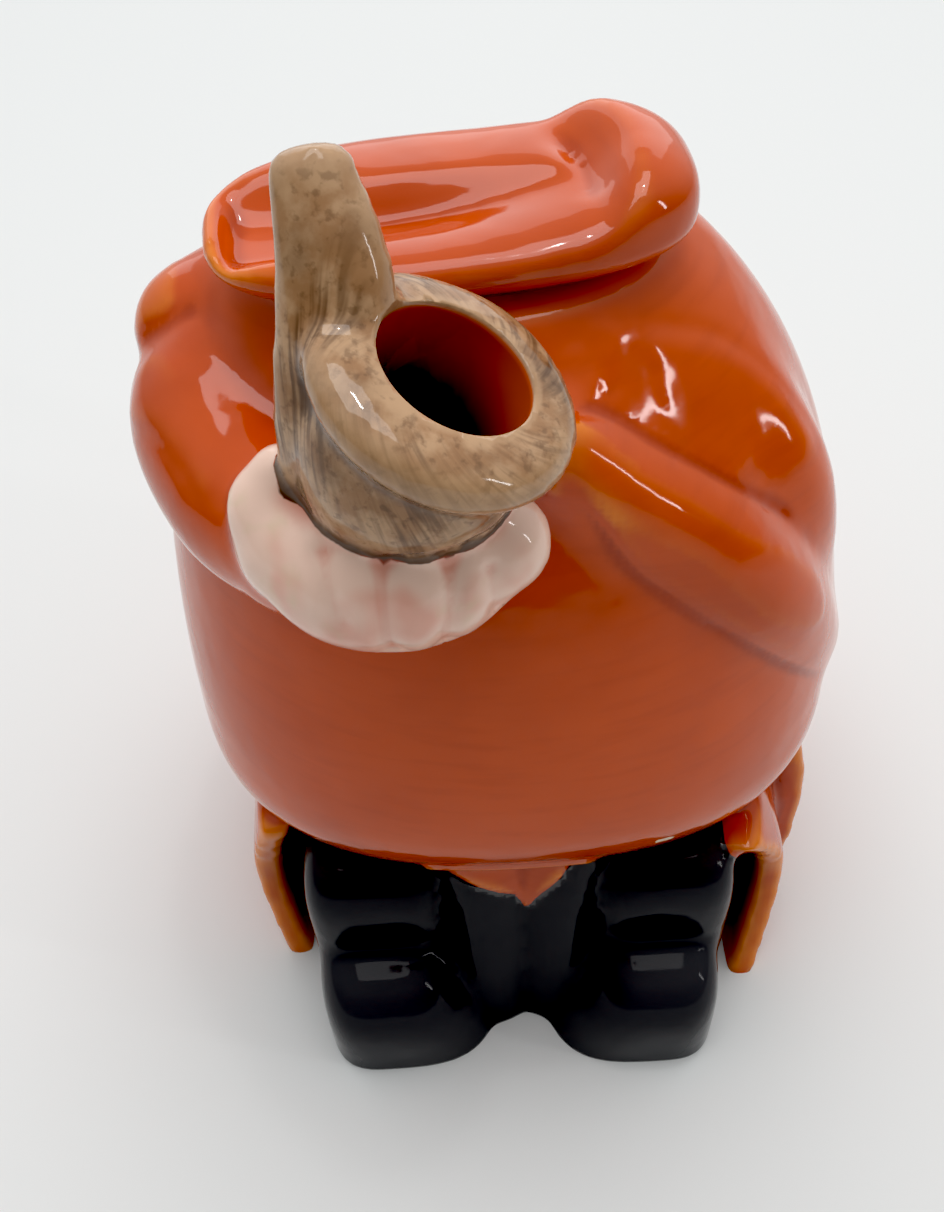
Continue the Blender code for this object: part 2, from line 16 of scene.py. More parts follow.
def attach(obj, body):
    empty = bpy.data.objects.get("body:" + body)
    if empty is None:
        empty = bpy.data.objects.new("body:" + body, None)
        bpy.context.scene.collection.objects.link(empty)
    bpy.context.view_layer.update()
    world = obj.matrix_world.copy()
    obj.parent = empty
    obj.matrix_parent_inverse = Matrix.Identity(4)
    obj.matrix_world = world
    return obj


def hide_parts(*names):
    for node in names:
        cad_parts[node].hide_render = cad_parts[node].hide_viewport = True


bl_info = {
    "name": "Novelty teapot",
    "version": (1, 0, 0),
    "blender": (4, 5, 0),
    "location": "View3D > Sidebar > Teapot",
    "description": "Builds a glazed earthenware teapot shaped as a stout figure with a pipe for a spout",
    "category": "Add Mesh",
}

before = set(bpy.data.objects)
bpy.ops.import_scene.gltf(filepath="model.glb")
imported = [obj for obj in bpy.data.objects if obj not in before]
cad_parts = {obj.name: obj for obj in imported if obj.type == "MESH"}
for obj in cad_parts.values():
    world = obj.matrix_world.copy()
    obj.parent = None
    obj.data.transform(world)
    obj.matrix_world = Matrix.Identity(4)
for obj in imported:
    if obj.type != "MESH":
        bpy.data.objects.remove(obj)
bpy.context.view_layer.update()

# How far the forms run below the floor before the underside is cut flat
FLOOR_CUT = 0.020

# Light as faint as this, or fainter, shows as black, which gives the photograph's contrast
BLACK_LEVEL = 0.024

# Where two forms meet, the skin is softened this near both of them, and this far off any other form, in
# millimetres
JOINT_MATCH = 5.0
JOINT_REACH = 7.0
JOINT_CLEAR = 3.0

# The strip of cloth over the trousers at the hem: how far it stands out and how wide its edge is, in
# millimetres
STRIP_RISE = 1.0
STRIP_EDGE = 0.8

# Half the width over which a fold's lip rises, and how much wider than named its groove is drawn so that
# the facets can follow it, in millimetres
LIP_RAMP = 1.7
GROOVE_SPARE = 0.6

# The value of a paint field far outside its colour, and how far inside the black its own glaze starts
OUTSIDE = -9.0
BLACK_MARGIN = 0.7

# How far below the mouth's rim the bore's colour starts, in millimetres
BORE_EDGE = 0.4

# The paint fields that the body carries
PAINT_FIELDS = ("hand", "pipe", "black", "bore", "turn", "out", "rim", "chip", "crease")

# Patterns in the paint and the glaze: how many millimetres a patch is across, and how fine its detail is
PATTERNS = {
    "cloud": (38.46, 3.0),
    "wash": (13.33, 2.0),
    "tint": (7.69, 3.0),
    "patch": (26.32, 2.0),
    "speckle": (4.76, 6.0),
    "stain": (14.29, 6.0),
    "grit": (1.538, 3.0),
    # The ragged edge of the painted shade along the pipe's paint edge
    "edge_shade_ragged": (6.25, 3.0),
    "ragged": (4.167, 3.0),
    "gloss": (18.18, 2.0),
    "wave": (14.29, 2.0),
}

# A mark of the brush on the orange, and a stroke on the pipe's rim with how far it slants, in millimetres
BRUSH_MARK = (16.67, 16.67, 2.38)
STROKE_WIDTH = 1.82
STROKE_LENGTH = 10.0
STROKE_SLANT = 1.1

# The height of the glaze's slow waves in metres, and the roughness of the glaze and of bare clay
GLAZE_WAVE = 0.0004
GLOSSY = 0.06
LESS_GLOSSY = 0.11
CLAY_ROUGHNESS = 0.5


def linear(hex_colour):
    """An sRGB hex colour as linear red, green, blue and alpha."""
    channels = [int(hex_colour[start:start + 2], 16) / 255.0 for start in (1, 3, 5)]
    bent = [c / 12.92 if c <= 0.04045 else ((c + 0.055) / 1.055) ** 2.4 for c in channels]
    return (*bent, 1.0)


def length(name, about, default):
    """A size in metres for the panel."""
    return FloatProperty(name=name, description=about, default=default, min=0.0, unit="LENGTH", precision=4)


def colour(name, about, hex_colour):
    """A colour for the panel."""
    return FloatVectorProperty(
        name=name, description=about, default=linear(hex_colour), size=4, min=0.0, max=1.0, subtype="COLOR"
    )


class TeapotSizes(bpy.types.PropertyGroup):
    """Sizes of the castings, the same as in the CAD"""

    seat_height: length("Seat height", "Height of the ledge that the hat rests on", 0.178)
    coat_half_width: length("Coat half width", "Half the coat's width at its widest", 0.0695)
    belly_depth: length("Belly depth", "From the middle to the front of the belly", 0.0685)
    back_depth: length("Back depth", "From the middle to the back of the coat", 0.0620)
    wall: length("Wall", "Thickness of the cast wall", 0.0045)
    base_thickness: length("Base", "Thickness of the bottom", 0.0060)
    neck_half_length: length("Neck half length", "Half the long way across the filling hole", 0.0305)
    neck_half_depth: length("Neck half depth", "Half the short way across the filling hole", 0.0138)
    neck_thickness: length("Neck thickness", "Thickness of the ledge round the filling hole", 0.0060)
    hat_half_length: length("Hat half length", "Half the hat's length", 0.0393)
    hat_half_depth: length("Hat half depth", "Half the hat's depth", 0.0198)
    hat_rise: length("Hat rise", "Height of the hat's low part above its seat", 0.0115)
    hat_wall: length("Hat wall", "Thickness of the hat over its hollow", 0.0040)
    brim_overhang: length("Brim overhang", "How far the hat's foot is drawn in", 0.0030)
    flange_height: length("Ring height", "Depth of the locating ring under the hat", 0.0070)
    flange_wall: length("Ring wall", "Thickness of the locating ring", 0.0032)
    flange_clearance: length("Ring clearance", "Gap between the locating ring and the neck", 0.0008)
    seat_gap: length("Seat gap", "Gap between the hat and its seat", 0.0003)
    mouth_radius: length("Mouth radius", "Radius of the spout's bore", 0.0115)
    rim_radius: length("Rim radius", "Radius of the pipe bowl's rim", 0.0200)
    rim_height: length("Rim height", "Height of the rim band", 0.0080)
    bowl_length: length("Bowl length", "From the spout's mouth to the foot of the bowl", 0.0360)
    bowl_radius: length("Bowl radius", "Radius of the bowl below its rim", 0.0168)
    passage_radius: length("Passage radius", "Radius of the way from the bowl to the pot", 0.0100)
    stem_width: length("Stem width", "Width of the mouthpiece", 0.0185)
    stem_thickness: length("Stem thickness", "Thickness of the mouthpiece", 0.0125)
    handle_width: length("Handle width", "Thickness of the loop handle", 0.0150)
    handle_reach: length("Handle reach", "How far the handle stands off the back", 0.0400)
    shoe_height: length("Shoe height", "Height of the shoes", 0.0300)
    flap_thickness: length("Flap thickness", "Thickness of the coat's flaps", 0.0075)
    body_grain: length("Body grain", "Size of a facet on the body's outside", 0.0013)
    hat_grain: length("Hat grain", "Size of a facet on the hat", 0.00085)
    hollow_grain: length("Hollow grain", "Size of a facet inside the pot", 0.0026)


class TeapotColours(bpy.types.PropertyGroup):
    """Underglaze colours and the clay"""

    coat: colour("Coat", "Orange underglaze of the coat and hat", "#D2561A")
    coat_deep: colour("Deep coat", "Orange where the colour lies thick", "#B04010")
    coat_thin: colour("Thin coat", "Orange where the glaze breaks thin over an edge", "#EE8A2C")
    skin: colour("Skin", "Cream underglaze of the hand", "#F9D5C2")
    skin_shade: colour("Skin shade", "Grey-green tint on the hand", "#E6D0AE")
    blush: colour("Blush", "Pink wash on the hand", "#E4866F")
    pipe: colour("Pipe", "Tan of the pipe", "#A67C58")
    pipe_dark: colour("Dark pipe", "Dark brown brush strokes on the pipe", "#573A25")
    pipe_light: colour("Light pipe", "Pale strokes on the pipe", "#C29C78")
    bore: colour("Bore", "Rust brown inside the spout's mouth", "#C05A28")
    # Painted shade: the bore's colour darkens to this deeper in the spout, where shade falls
    bore_painted_shade: colour("Deep bore", "Dark brown deeper in the spout", "#4A1C0A")
    shoes: colour("Shoes", "Black of the legs and shoes", "#3A3A3D")
    clay: colour("Clay", "Bare fired clay", "#E6D6BE")
    floor: colour("Floor", "Plain studio paper", "#E6E7E6")


# How far the hat and its neck are turned from straight across
HAT_TURN = math.radians(4.0)

# Where the forms of the figure lie, as shares of the coat: x of its half width, y of the belly's depth
# and z of the seat's height. The first four are where the coat's egg is widest, how far it rises above
# that and drops below it, and how far its neck is shifted.
WIDEST = 0.478
CROWN_RISE = 0.618
UNDER_DROP = 0.275
NECK_SHIFT = -0.105
NECK_PLACE = (-0.110, -0.145, 1.0)
MOUTH_PLACE = (-0.115, -0.810, 1.068)
BOWL_FOOT_PLACE = (-0.355, -0.760, 0.885)

# Curves along the sleeves (left upper and fore, then right), the hand, the way from the pot to the spout,
# and the mouthpiece. The radii are shares of the coat's half width, and the mouthpiece's of its own width.
SLEEVES = (
    (((-0.44, 0.04, 0.890), (-0.64, 0.00, 0.905), (-0.75, -0.06, 0.900)), (0.158, 0.180, 0.173)),
    (((-0.60, -0.10, 0.870), (-0.70, -0.24, 0.855), (-0.62, -0.50, 0.840), (-0.49, -0.70, 0.848)),
     (0.216, 0.237, 0.216, 0.180)),
    (((0.42, -0.16, 0.895), (0.67, -0.30, 0.745), (0.78, -0.26, 0.560)), (0.165, 0.187, 0.165)),
    (((0.80, -0.35, 0.510), (0.62, -0.54, 0.674), (0.36, -0.59, 0.800), (0.10, -0.60, 0.900)),
     (0.180, 0.184, 0.158, 0.122)),
)
HAND = ((-0.470, -0.80, 0.887), (-0.36, -0.86, 0.877), (-0.20, -0.87, 0.877), (-0.05, -0.84, 0.889))
HAND_RADII = (0.151, 0.180, 0.176, 0.118)
THUMB = ((-0.480, -0.80, 0.880), (-0.520, -0.76, 0.915), (-0.500, -0.74, 0.945))
THUMB_RADII = (0.115, 0.115, 0.072)
PASSAGE = ((-0.330, -0.76, 0.920), (-0.28, -0.60, 0.870), (-0.22, -0.36, 0.810))
STEM = ((-0.430, -0.79, 0.955), (-0.385, -0.77, 1.030), (-0.335, -0.70, 1.110), (-0.360, -0.590, 1.184))
STEM_TAPER = (0.26, 0.38, 0.44, 0.32)

# The middle, half width and front of a knee, then of its shoe, whose inner side spreads to the floor
LEFT_LEG = (-0.490, 0.225, -0.905, -0.490, 0.215, -1.14)
RIGHT_LEG = (0.450, 0.225, -0.935, 0.430, 0.210, -1.168)
SHOE_SPREAD = 0.15

# The seam between the trouser legs, and how far from it the middle of each leg is
SEAM_PLACE = -0.010
TROUSER_MIDDLE = 0.12

# The coat's hem over the trousers: x and height
HEM = (
    (-0.34, 0.42), (-0.279, 0.36), (-0.233, 0.324), (-0.19, 0.318), (-0.114, 0.301), (-0.039, 0.279),
    (-0.004, 0.245), (0.038, 0.280), (0.099, 0.313), (0.15, 0.355), (0.22, 0.42),
)

# Folds of cloth and grooves between the fingers. Each has its curve, then in millimetres the height and
# width of the lip on the curve's left as seen from outside, and the depth and width of its groove.
FOLDS = (
    (((0.10, -0.60, 0.96), (0.20, -0.54, 0.925), (0.316, -0.553, 0.891), (0.442, -0.545, 0.853),
      (0.613, -0.505, 0.793), (0.72, -0.47, 0.75)), 0.7, 4.0, 0.5, 1.4),
    (((0.09, -0.71, 0.93), (0.184, -0.734, 0.864), (0.286, -0.731, 0.794), (0.442, -0.739, 0.734),
      (0.617, -0.721, 0.664), (0.777, -0.626, 0.577), (0.90, -0.50, 0.50)), 1.0, 5.0, 0.5, 1.2),
    (((0.80, -0.382, 0.78), (0.735, -0.336, 0.833), (0.633, -0.304, 0.882), (0.502, -0.314, 0.925),
      (0.357, -0.371, 0.957), (0.30, -0.41, 0.965)), 0.45, 7.0, 0.25, 1.4),
    (((0.201, -0.523, 0.931), (0.19, -0.48, 0.95), (0.17, -0.44, 0.972)), 0.40, 4.0, 0.2, 1.2),
    (((0.201, -0.523, 0.931), (0.24, -0.47, 0.948), (0.285, -0.41, 0.963)), 0.35, 4.0, 0.2, 1.2),
    (((-0.72, -0.165, 0.951), (-0.805, -0.188, 0.938), (-0.90, -0.16, 0.92)), 0.45, 4.0, 0.6, 1.6),
    (((-0.735, -0.36, 0.935), (-0.780, -0.288, 0.938), (-0.831, -0.233, 0.927), (-0.88, -0.24, 0.90)),
     0.3, 3.0, 0.3, 1.2),
    (((-0.90, -0.30, 0.87), (-0.88, -0.38, 0.885), (-0.843, -0.438, 0.900), (-0.787, -0.514, 0.901),
      (-0.735, -0.595, 0.898), (-0.699, -0.681, 0.886)), 0.55, 5.0, 0.3, 1.4),
    (((-0.284, -0.95, 0.945), (-0.298, -1.03, 0.91), (-0.298, -1.068, 0.865), (-0.28, -1.03, 0.82)),
     0.2, 2.0, 1.3, 1.2),
    (((-0.154, -0.95, 0.94), (-0.150, -1.03, 0.90), (-0.165, -1.05, 0.860), (-0.17, -1.0, 0.82)),
     0.2, 2.0, 1.3, 1.2),
    (((-0.075, -0.95, 0.915), (-0.055, -0.99, 0.885), (-0.05, -0.97, 0.85)), 0.2, 2.0, 1.0, 1.2),
    (((-0.417, -0.93, 0.94), (-0.40, -0.99, 0.91), (-0.372, -1.023, 0.87)), 0.2, 2.0, 1.0, 1.2),
)

# Chips that show bare clay along the hem: the place, and the radius in millimetres
CHIPS = (
    ((-0.585, -0.860, 0.400), 1.1), ((-0.560, -0.880, 0.398), 1.2), ((-0.505, -0.905, 0.405), 0.7),
    ((-0.310, -0.965, 0.418), 0.7), ((-0.004, -0.940, 0.246), 0.8), ((0.375, -0.950, 0.430), 1.3),
    ((0.405, -0.945, 0.428), 1.4), ((0.435, -0.940, 0.426), 1.1), ((0.640, -0.840, 0.385), 1.2),
)


def sizes():
    """The sizes that the panel holds."""
    return bpy.context.scene.teapot_sizes


def colours():
    """The colours that the panel holds."""
    return bpy.context.scene.teapot_colours


def at(x, y, z):
    """A point given as shares of the coat's half width, the belly's depth and the seat's height."""
    s = sizes()
    return Vector((x * s.coat_half_width, y * s.belly_depth, z * s.seat_height))


def path(places):
    """Points given as shares, as at() takes them."""
    return [at(*place) for place in places]


def radii(shares):
    """Radii given as shares of the coat's half width."""
    return [share * sizes().coat_half_width for share in shares]


def ease(low, high, value):
    """A smooth step from 0 at low to 1 at high, for a number or an array."""
    share = np.clip((value - low) / (high - low), 0.0, 1.0)
    return share * share * (3.0 - 2.0 * share)


def curve_point(points, share):
    """A point on the smooth curve through a few points, with share from 0 to 1."""
    spans = len(points) - 1
    span = min(int(share * spans), spans - 1)
    t = share * spans - span
    a = points[max(span - 1, 0)]
    b = points[span]
    c = points[span + 1]
    d = points[min(span + 2, spans)]
    bend = 2 * a - 5 * b + 4 * c - d
    twist = 3 * b - a - 3 * c + d
    return 0.5 * (2 * b + (c - a) * t + bend * t * t + twist * t ** 3)


def ball(segments, rings, place):
    """A UV sphere whose points move to place(angle, fall), with fall from 0 at the top to 1 below."""
    shape = bmesh.new()
    bmesh.ops.create_uvsphere(shape, u_segments=segments, v_segments=rings, radius=1.0)
    for vert in shape.verts:
        fall = math.acos(max(-1.0, min(1.0, vert.co.z))) / math.pi
        vert.co = place(math.atan2(vert.co.y, vert.co.x), fall)
    return shape


def block(cuts, place):
    """A cube cut into a grid, whose points move to place(x, y, z), with x, y and z from -1 to 1."""
    shape = bmesh.new()
    bmesh.ops.create_cube(shape, size=2.0)
    bmesh.ops.subdivide_edges(shape, edges=shape.edges, cuts=cuts, use_grid_fill=True)
    for vert in shape.verts:
        vert.co = place(*vert.co)
    return shape


def rounded(x, y, z, squareness):
    """Pushes a point of a cube onto a rounded block, which is a ball at squareness 2."""
    size = (abs(x) ** squareness + abs(y) ** squareness + abs(z) ** squareness) ** (1.0 / squareness)
    return Vector((x / size, y / size, z / size))


def rounded_block(centre, half_size, squareness, cuts):
    """A block with soft edges."""

    def place(x, y, z):
        point = rounded(x, y, z, squareness)
        return centre + Vector((point.x * half_size[0], point.y * half_size[1], point.z * half_size[2]))

    return block(cuts, place)


def limb(points, radii, size, inset=0.0, flatness=1.0, blunt=0.0, across=Vector((1, 0, 0))):
    """A limb along a smooth curve with a rounded or blunt end each way, flattened square to across."""
    radius_points = [Vector((radius, 0.0, 0.0)) for radius in radii]
    cap = 0.25

    def place(angle, fall):
        share = min(1.0, max(0.0, (fall - cap) / (1.0 - 2.0 * cap)))
        ahead = curve_point(points, min(share + 0.01, 1.0)) - curve_point(points, max(share - 0.01, 0.0))
        ahead.normalize()
        side = (across - ahead * across.dot(ahead)).normalized()
        front = ahead.cross(side)
        radius = curve_point(radius_points, share).x - inset
        past_end = max(0.0, cap - fall, fall - (1.0 - cap)) / cap * math.pi / 2.0
        slide = math.sin(past_end) * radius * (1.0 if fall > 0.5 else -1.0) * (1.0 - 0.45 * blunt)
        reach = max(0.0, math.cos(past_end)) ** (1.0 - 0.45 * blunt) * radius
        middle = curve_point(points, share) + ahead * slide
        return middle + (side * math.cos(angle) + front * math.sin(angle) * flatness) * reach

    return ball(*size, place)


def coat_egg(segments, rings, inset, top):
    """The coat's egg, drawn in by inset all round and cut off flat at top."""
    s = sizes()
    half_width = s.coat_half_width
    seat = s.seat_height
    front_depth = s.belly_depth
    back_depth = s.back_depth

    def place(angle, fall):
        up = math.cos(math.pi * fall)
        if up >= 0.0:
            width = math.sqrt(max(0.0, 1.0 - up * up))
            depth = max(0.0, 1.0 - up ** 1.6) ** 0.585
            back = max(0.0, 1.0 - up ** 1.3) ** 0.78
            height = WIDEST * seat + up * (CROWN_RISE * seat - inset)
            shift = NECK_SHIFT * half_width * up ** 2 * 1.4
        else:
            width = max(0.0, 1.0 - abs(up) ** 4.6) ** (1.0 / 4.6)
            depth = max(0.0, 1.0 - abs(up) ** 1.8) ** (1.0 / 1.9)
            back = width
            height = WIDEST * seat + up * (UNDER_DROP * seat - inset)
            shift = 0.0
        reach = depth * (front_depth - inset) if math.sin(angle) < 0.0 else back * (back_depth - inset)
        fullness = 2.0 + 0.5 * ease(0.45, -0.30, up)
        x = math.copysign(abs(math.cos(angle)) ** (2.0 / fullness), math.cos(angle))
        y = math.copysign(abs(math.sin(angle)) ** (2.0 / fullness), math.sin(angle))
        return Vector((shift + width * (half_width - inset) * x, reach * y, min(height, top)))

    return ball(segments, rings, place)


def oval_prism(half_length, half_depth, bottom, top, segments):
    """An upright oval prism at the neck, turned with the hat."""
    shape = bmesh.new()
    bmesh.ops.create_cone(
        shape, cap_ends=True, segments=segments, radius1=1.0, radius2=1.0, depth=top - bottom
    )
    bmesh.ops.scale(shape, vec=(half_length, half_depth, 1.0), verts=shape.verts)
    bmesh.ops.rotate(shape, cent=(0, 0, 0), matrix=Matrix.Rotation(HAT_TURN, 3, "Z"), verts=shape.verts)
    neck = at(*NECK_PLACE)
    bmesh.ops.translate(shape, vec=(neck.x, neck.y, (top + bottom) / 2), verts=shape.verts)
    return shape


def skirt(inset, bottom, segments):
    """The lower part of the coat, an oval drum down to the floor."""
    s = sizes()
    top = 0.40 * s.seat_height
    shape = bmesh.new()
    bmesh.ops.create_cone(
        shape, cap_ends=True, segments=segments, radius1=0.90, radius2=0.93, depth=top - bottom
    )
    half_depth = 0.5 * (0.93 * s.back_depth + 0.62 * s.belly_depth)
    scale = (s.coat_half_width - inset / 0.92, half_depth / 0.92 - inset / 0.92, 1.0)
    bmesh.ops.scale(shape, vec=scale, verts=shape.verts)
    middle = 0.5 * (0.93 * s.back_depth - 0.62 * s.belly_depth)
    bmesh.ops.translate(shape, vec=(0.0, middle, (top + bottom) / 2), verts=shape.verts)
    return shape


def flap(front_edge, root_edge, cuts):
    """A coat flap: a curved slab from its front edge back to its root in the coat, with a round edge."""
    flap_thickness = sizes().flap_thickness

    def place(x, y, z):
        fall = 0.5 - 0.5 * z
        back = 0.5 + 0.5 * y
        edge = curve_point(front_edge, fall)
        root = curve_point(root_edge, fall)
        bulge = math.sin(math.pi * fall) * (1.0 - back) * 0.15 * flap_thickness
        thickness = flap_thickness * (0.8 + 0.2 * min(1.0, back * 4.0) ** 0.5)
        point = edge.lerp(root, back)
        side = 1.0 if edge.x > 0 else -1.0
        return point + Vector((x * thickness / 2 + side * bulge, 0.0, 0.0))

    return block(cuts, place)


def pipe_axis():
    """The middle of the spout's mouth and the way that the bowl faces."""
    foot = at(*BOWL_FOOT_PLACE)
    mouth = at(*MOUTH_PLACE)
    return mouth, (mouth - foot).normalized()


def turned(profile, steps):
    """A shape turned round the pipe bowl's axis. The profile is (radius, depth below the mouth)."""
    mouth, axis = pipe_axis()
    shape = bmesh.new()
    verts = [shape.verts.new((radius, 0.0, -depth)) for radius, depth in profile]
    edges = [shape.edges.new(pair) for pair in zip(verts, verts[1:])]
    bmesh.ops.spin(
        shape, geom=verts + edges, cent=(0, 0, 0), axis=(0, 0, 1), angle=2.0 * math.pi, steps=steps,
        use_merge=True,
    )
    bmesh.ops.remove_doubles(shape, verts=shape.verts, dist=1e-6)
    bmesh.ops.recalc_face_normals(shape, faces=shape.faces)
    turn = Matrix.Translation(mouth) @ axis.to_track_quat("Z", "X").to_matrix().to_4x4()
    bmesh.ops.transform(shape, matrix=turn, verts=shape.verts)
    return shape


def bowl_profile():
    """The pipe bowl's outer side from its closed mouth down: rim, groove and swelling bowl."""
    s = sizes()
    lip = s.rim_radius - s.mouth_radius
    profile = [(0.0, 0.0), (s.mouth_radius, 0.0)]
    for step in range(9):
        turn = math.pi / 2.0 * step / 8
        radius = s.mouth_radius + 0.10 * lip + 0.90 * lip * math.sin(turn)
        profile.append((radius, 0.55 * s.rim_height * (1.0 - math.cos(turn) ** 0.8)))
    for step in range(1, 7):
        turn = math.pi / 2.0 * step / 6
        radius = s.rim_radius - 0.38 * lip * (1.0 - math.cos(turn))
        profile.append((radius, s.rim_height * (0.55 + 0.49 * math.sin(turn))))
    below = s.bowl_length - 1.04 * s.rim_height
    for step in range(1, 15):
        turn = step / 14.0
        radius = s.bowl_radius * math.sin(math.pi * (0.36 + 0.62 * turn)) ** 0.6
        profile.append((radius if step < 14 else 0.0, 1.04 * s.rim_height + below * turn))
    return profile


def bore_profile():
    """The spout's bore, from above the mouth down into the bowl."""
    s = sizes()
    top = -0.5 * s.rim_height
    return [
        (0.0, top),
        (s.mouth_radius, top),
        (s.mouth_radius, 0.20 * s.rim_height),
        (0.97 * s.mouth_radius, s.rim_height),
        (0.97 * s.mouth_radius, 0.66 * s.bowl_length),
        (0.75 * s.mouth_radius, 0.86 * s.bowl_length),
        (0.0, 0.90 * s.bowl_length),
    ]


def sleeves(inset, size):
    """The two arms, each of an upper and a lower part, drawn in by inset."""
    return [limb(path(places), radii(shares), size, inset=inset) for places, shares in SLEEVES]


def leg(side, inset, cuts):
    """A knee over a shoe, on the side whose x has this sign, or its hollow where inset is the wall."""
    s = sizes()
    knee_middle, knee_half, knee_front, shoe_middle, shoe_half, toe = LEFT_LEG if side < 0 else RIGHT_LEG
    knee_low = 0.1 * s.shoe_height
    knee_high = 0.312 * s.seat_height
    knee_back = -0.30
    knee = rounded_block(
        at(knee_middle, (knee_front + knee_back) / 2, 0.0) + Vector((0.0, 0.0, (knee_low + knee_high) / 2)),
        (
            knee_half * s.coat_half_width - inset,
            (knee_back - knee_front) / 2 * s.belly_depth - inset,
            (knee_high - knee_low) / 2 - inset,
        ),
        4.6,
        cuts,
    )
    sole = 0.15 * s.shoe_height
    half_width = shoe_half * s.coat_half_width - inset
    half_depth = 0.42 * s.belly_depth - inset
    middle = at(shoe_middle, toe + 0.42, 0.0)
    floor = s.base_thickness if inset else -FLOOR_CUT
    half_height = s.shoe_height - sole - inset

    def place(x, y, z):
        flat = (abs(x) ** 3.4 + abs(y) ** 3.4) ** (1.0 / 3.4) or 1.0
        edge = max(abs(x), abs(y))
        size = (edge ** 4.2 + abs(z) ** 4.2) ** (1.0 / 4.2)
        x, y, z = x / flat * edge / size, y / flat * edge / size, z / size
        z = max(z, (floor - sole) / half_height)
        spread = SHOE_SPREAD * s.coat_half_width * (1.0 - z) * (x * side < 0.0) * abs(x)
        across = middle.x + x * half_width - side * spread
        return Vector((across, middle.y + y * half_depth, sole + z * half_height))

    return [knee, block(cuts, place)]


def apron(inset, cuts):
    """The front between the knees under the belly: two trouser legs that meet in a seam."""
    s = sizes()
    floor = s.base_thickness if inset else -FLOOR_CUT

    def place(x, y, z):
        point = rounded(x, y, z, 5.0)
        half_width = 0.52 * s.coat_half_width - inset
        spot = abs(point.x * half_width / s.coat_half_width - SEAM_PLACE)
        sunk = 0.045 * ((spot - TROUSER_MIDDLE) / TROUSER_MIDDLE) ** 2 if not inset else 0.045
        front = (-0.955 + 0.105 * point.z + min(sunk, 0.10)) * s.belly_depth + inset
        back = -0.40 * s.belly_depth
        height = 0.13 * s.seat_height + point.z * (0.28 * s.seat_height - inset)
        deep = (front + back) / 2 + point.y * (back - front) / 2
        return Vector((point.x * half_width, deep, max(height, floor)))

    return block(cuts, place)


def flaps(cuts):
    """The coat's flaps beside the legs: one on the left and two layers on the right."""
    edges = (
        (((-0.776, -0.66, 0.310), (-0.85, -0.60, 0.150), (-0.776, -0.74, -0.06)),
         ((-0.82, -0.10, 0.350), (-0.84, -0.10, 0.150), (-0.82, -0.10, -0.06))),
        (((0.675, -0.82, 0.310), (0.814, -0.72, 0.170), (0.715, -0.94, -0.06)),
         ((0.78, -0.20, 0.310), (0.82, -0.20, 0.170), (0.78, -0.20, -0.06))),
        (((0.875, -0.42, 0.330), (0.93, -0.46, 0.180), (0.875, -0.52, -0.06)),
         ((0.84, 0.10, 0.350), (0.88, 0.10, 0.180), (0.84, 0.10, -0.06))),
    )
    return [flap(path(edge), path(root), cuts) for edge, root in edges]


def handle():
    """The loop at the back, a round limb along its curve."""
    s = sizes()
    reach = s.back_depth + s.handle_reach
    spots = [
        Vector((0.0, 0.60 * s.back_depth, 0.745 * s.seat_height)),
        Vector((0.0, 0.86 * reach, 0.735 * s.seat_height)),
        Vector((0.0, reach, 0.600 * s.seat_height)),
        Vector((0.0, 0.93 * reach, 0.420 * s.seat_height)),
        Vector((0.0, 0.78 * s.back_depth, 0.265 * s.seat_height)),
    ]
    return limb(spots, [s.handle_width / 2] * len(spots), (40, 96))


def hat_top(along, across):
    """Height of the hat's top above its seat. Along and across run from -1 to 1 over its plan."""
    turn_up = 0.60 - 0.16 * max(0.0, across) ** 1.5 - 0.05 * min(0.0, across) ** 2
    rise = 0.98 + 0.06 * across + 0.22 * ease(0.10, 0.90, along)
    rise += 0.46 * ease(turn_up - 0.05, turn_up + 0.16, along)
    pit = 1.0 - ease(-0.62, -0.30, along)
    depth = (0.62 * pit + (1.0 - pit) * (0.44 - 0.30 * ease(-0.30, 0.55, along))) * ease(-0.97, -0.86, along)
    depth *= 1.0 - ease(0.48, 0.66, along)
    behind = 0.20 + 0.32 * pit
    before = 0.46 - 0.02 * pit
    gap = across + 0.12
    if gap > 0.0:
        valley = depth * math.exp(-((gap / behind) ** (2.0 + 2.0 * pit)))
    else:
        valley = depth * math.exp(-((-gap / before) ** (1.5 + 2.5 * pit)))
    pocket = 0.20 * math.exp(-(((along - turn_up + 0.05) / 0.075) ** 2))
    pocket *= math.exp(-(((across - 0.05) / 0.50) ** 4))
    return sizes().hat_rise * (rise - max(valley, pocket))


def hat(cuts):
    """The hat's outside: a flat-bottomed boat with rolled edges and a valley along its top."""
    s = sizes()
    middle = 0.42 * s.hat_rise
    neck = at(*NECK_PLACE)
    spin = Matrix.Rotation(HAT_TURN, 3, "Z")

    def place(x, y, z):
        point = rounded(x, y, z, 2.0)
        plan = math.hypot(point.x, point.y)
        corner = (abs(point.x) ** 2.7 + abs(point.y) ** 2.7) ** (1.0 / 2.7) or 1.0
        reach = plan ** (0.72 if point.z >= 0.0 else 0.5) * plan / corner
        along = point.x / plan * reach if plan > 1e-6 else 0.0
        across = point.y / plan * reach if plan > 1e-6 else 0.0
        if point.z >= 0.0:
            height = middle + (hat_top(along, across) - middle) * point.z ** 0.55
            spare = 0.0
        else:
            height = middle * (1.0 - min(1.0, 1.25 * abs(point.z) ** 0.8))
            spare = s.brim_overhang * (1.0 - height / middle)
        flat = spin @ Vector((along * (s.hat_half_length - spare), across * (s.hat_half_depth - spare), 0.0))
        return flat + Vector((neck.x, neck.y, s.seat_height + s.seat_gap + height))

    return block(cuts, place)


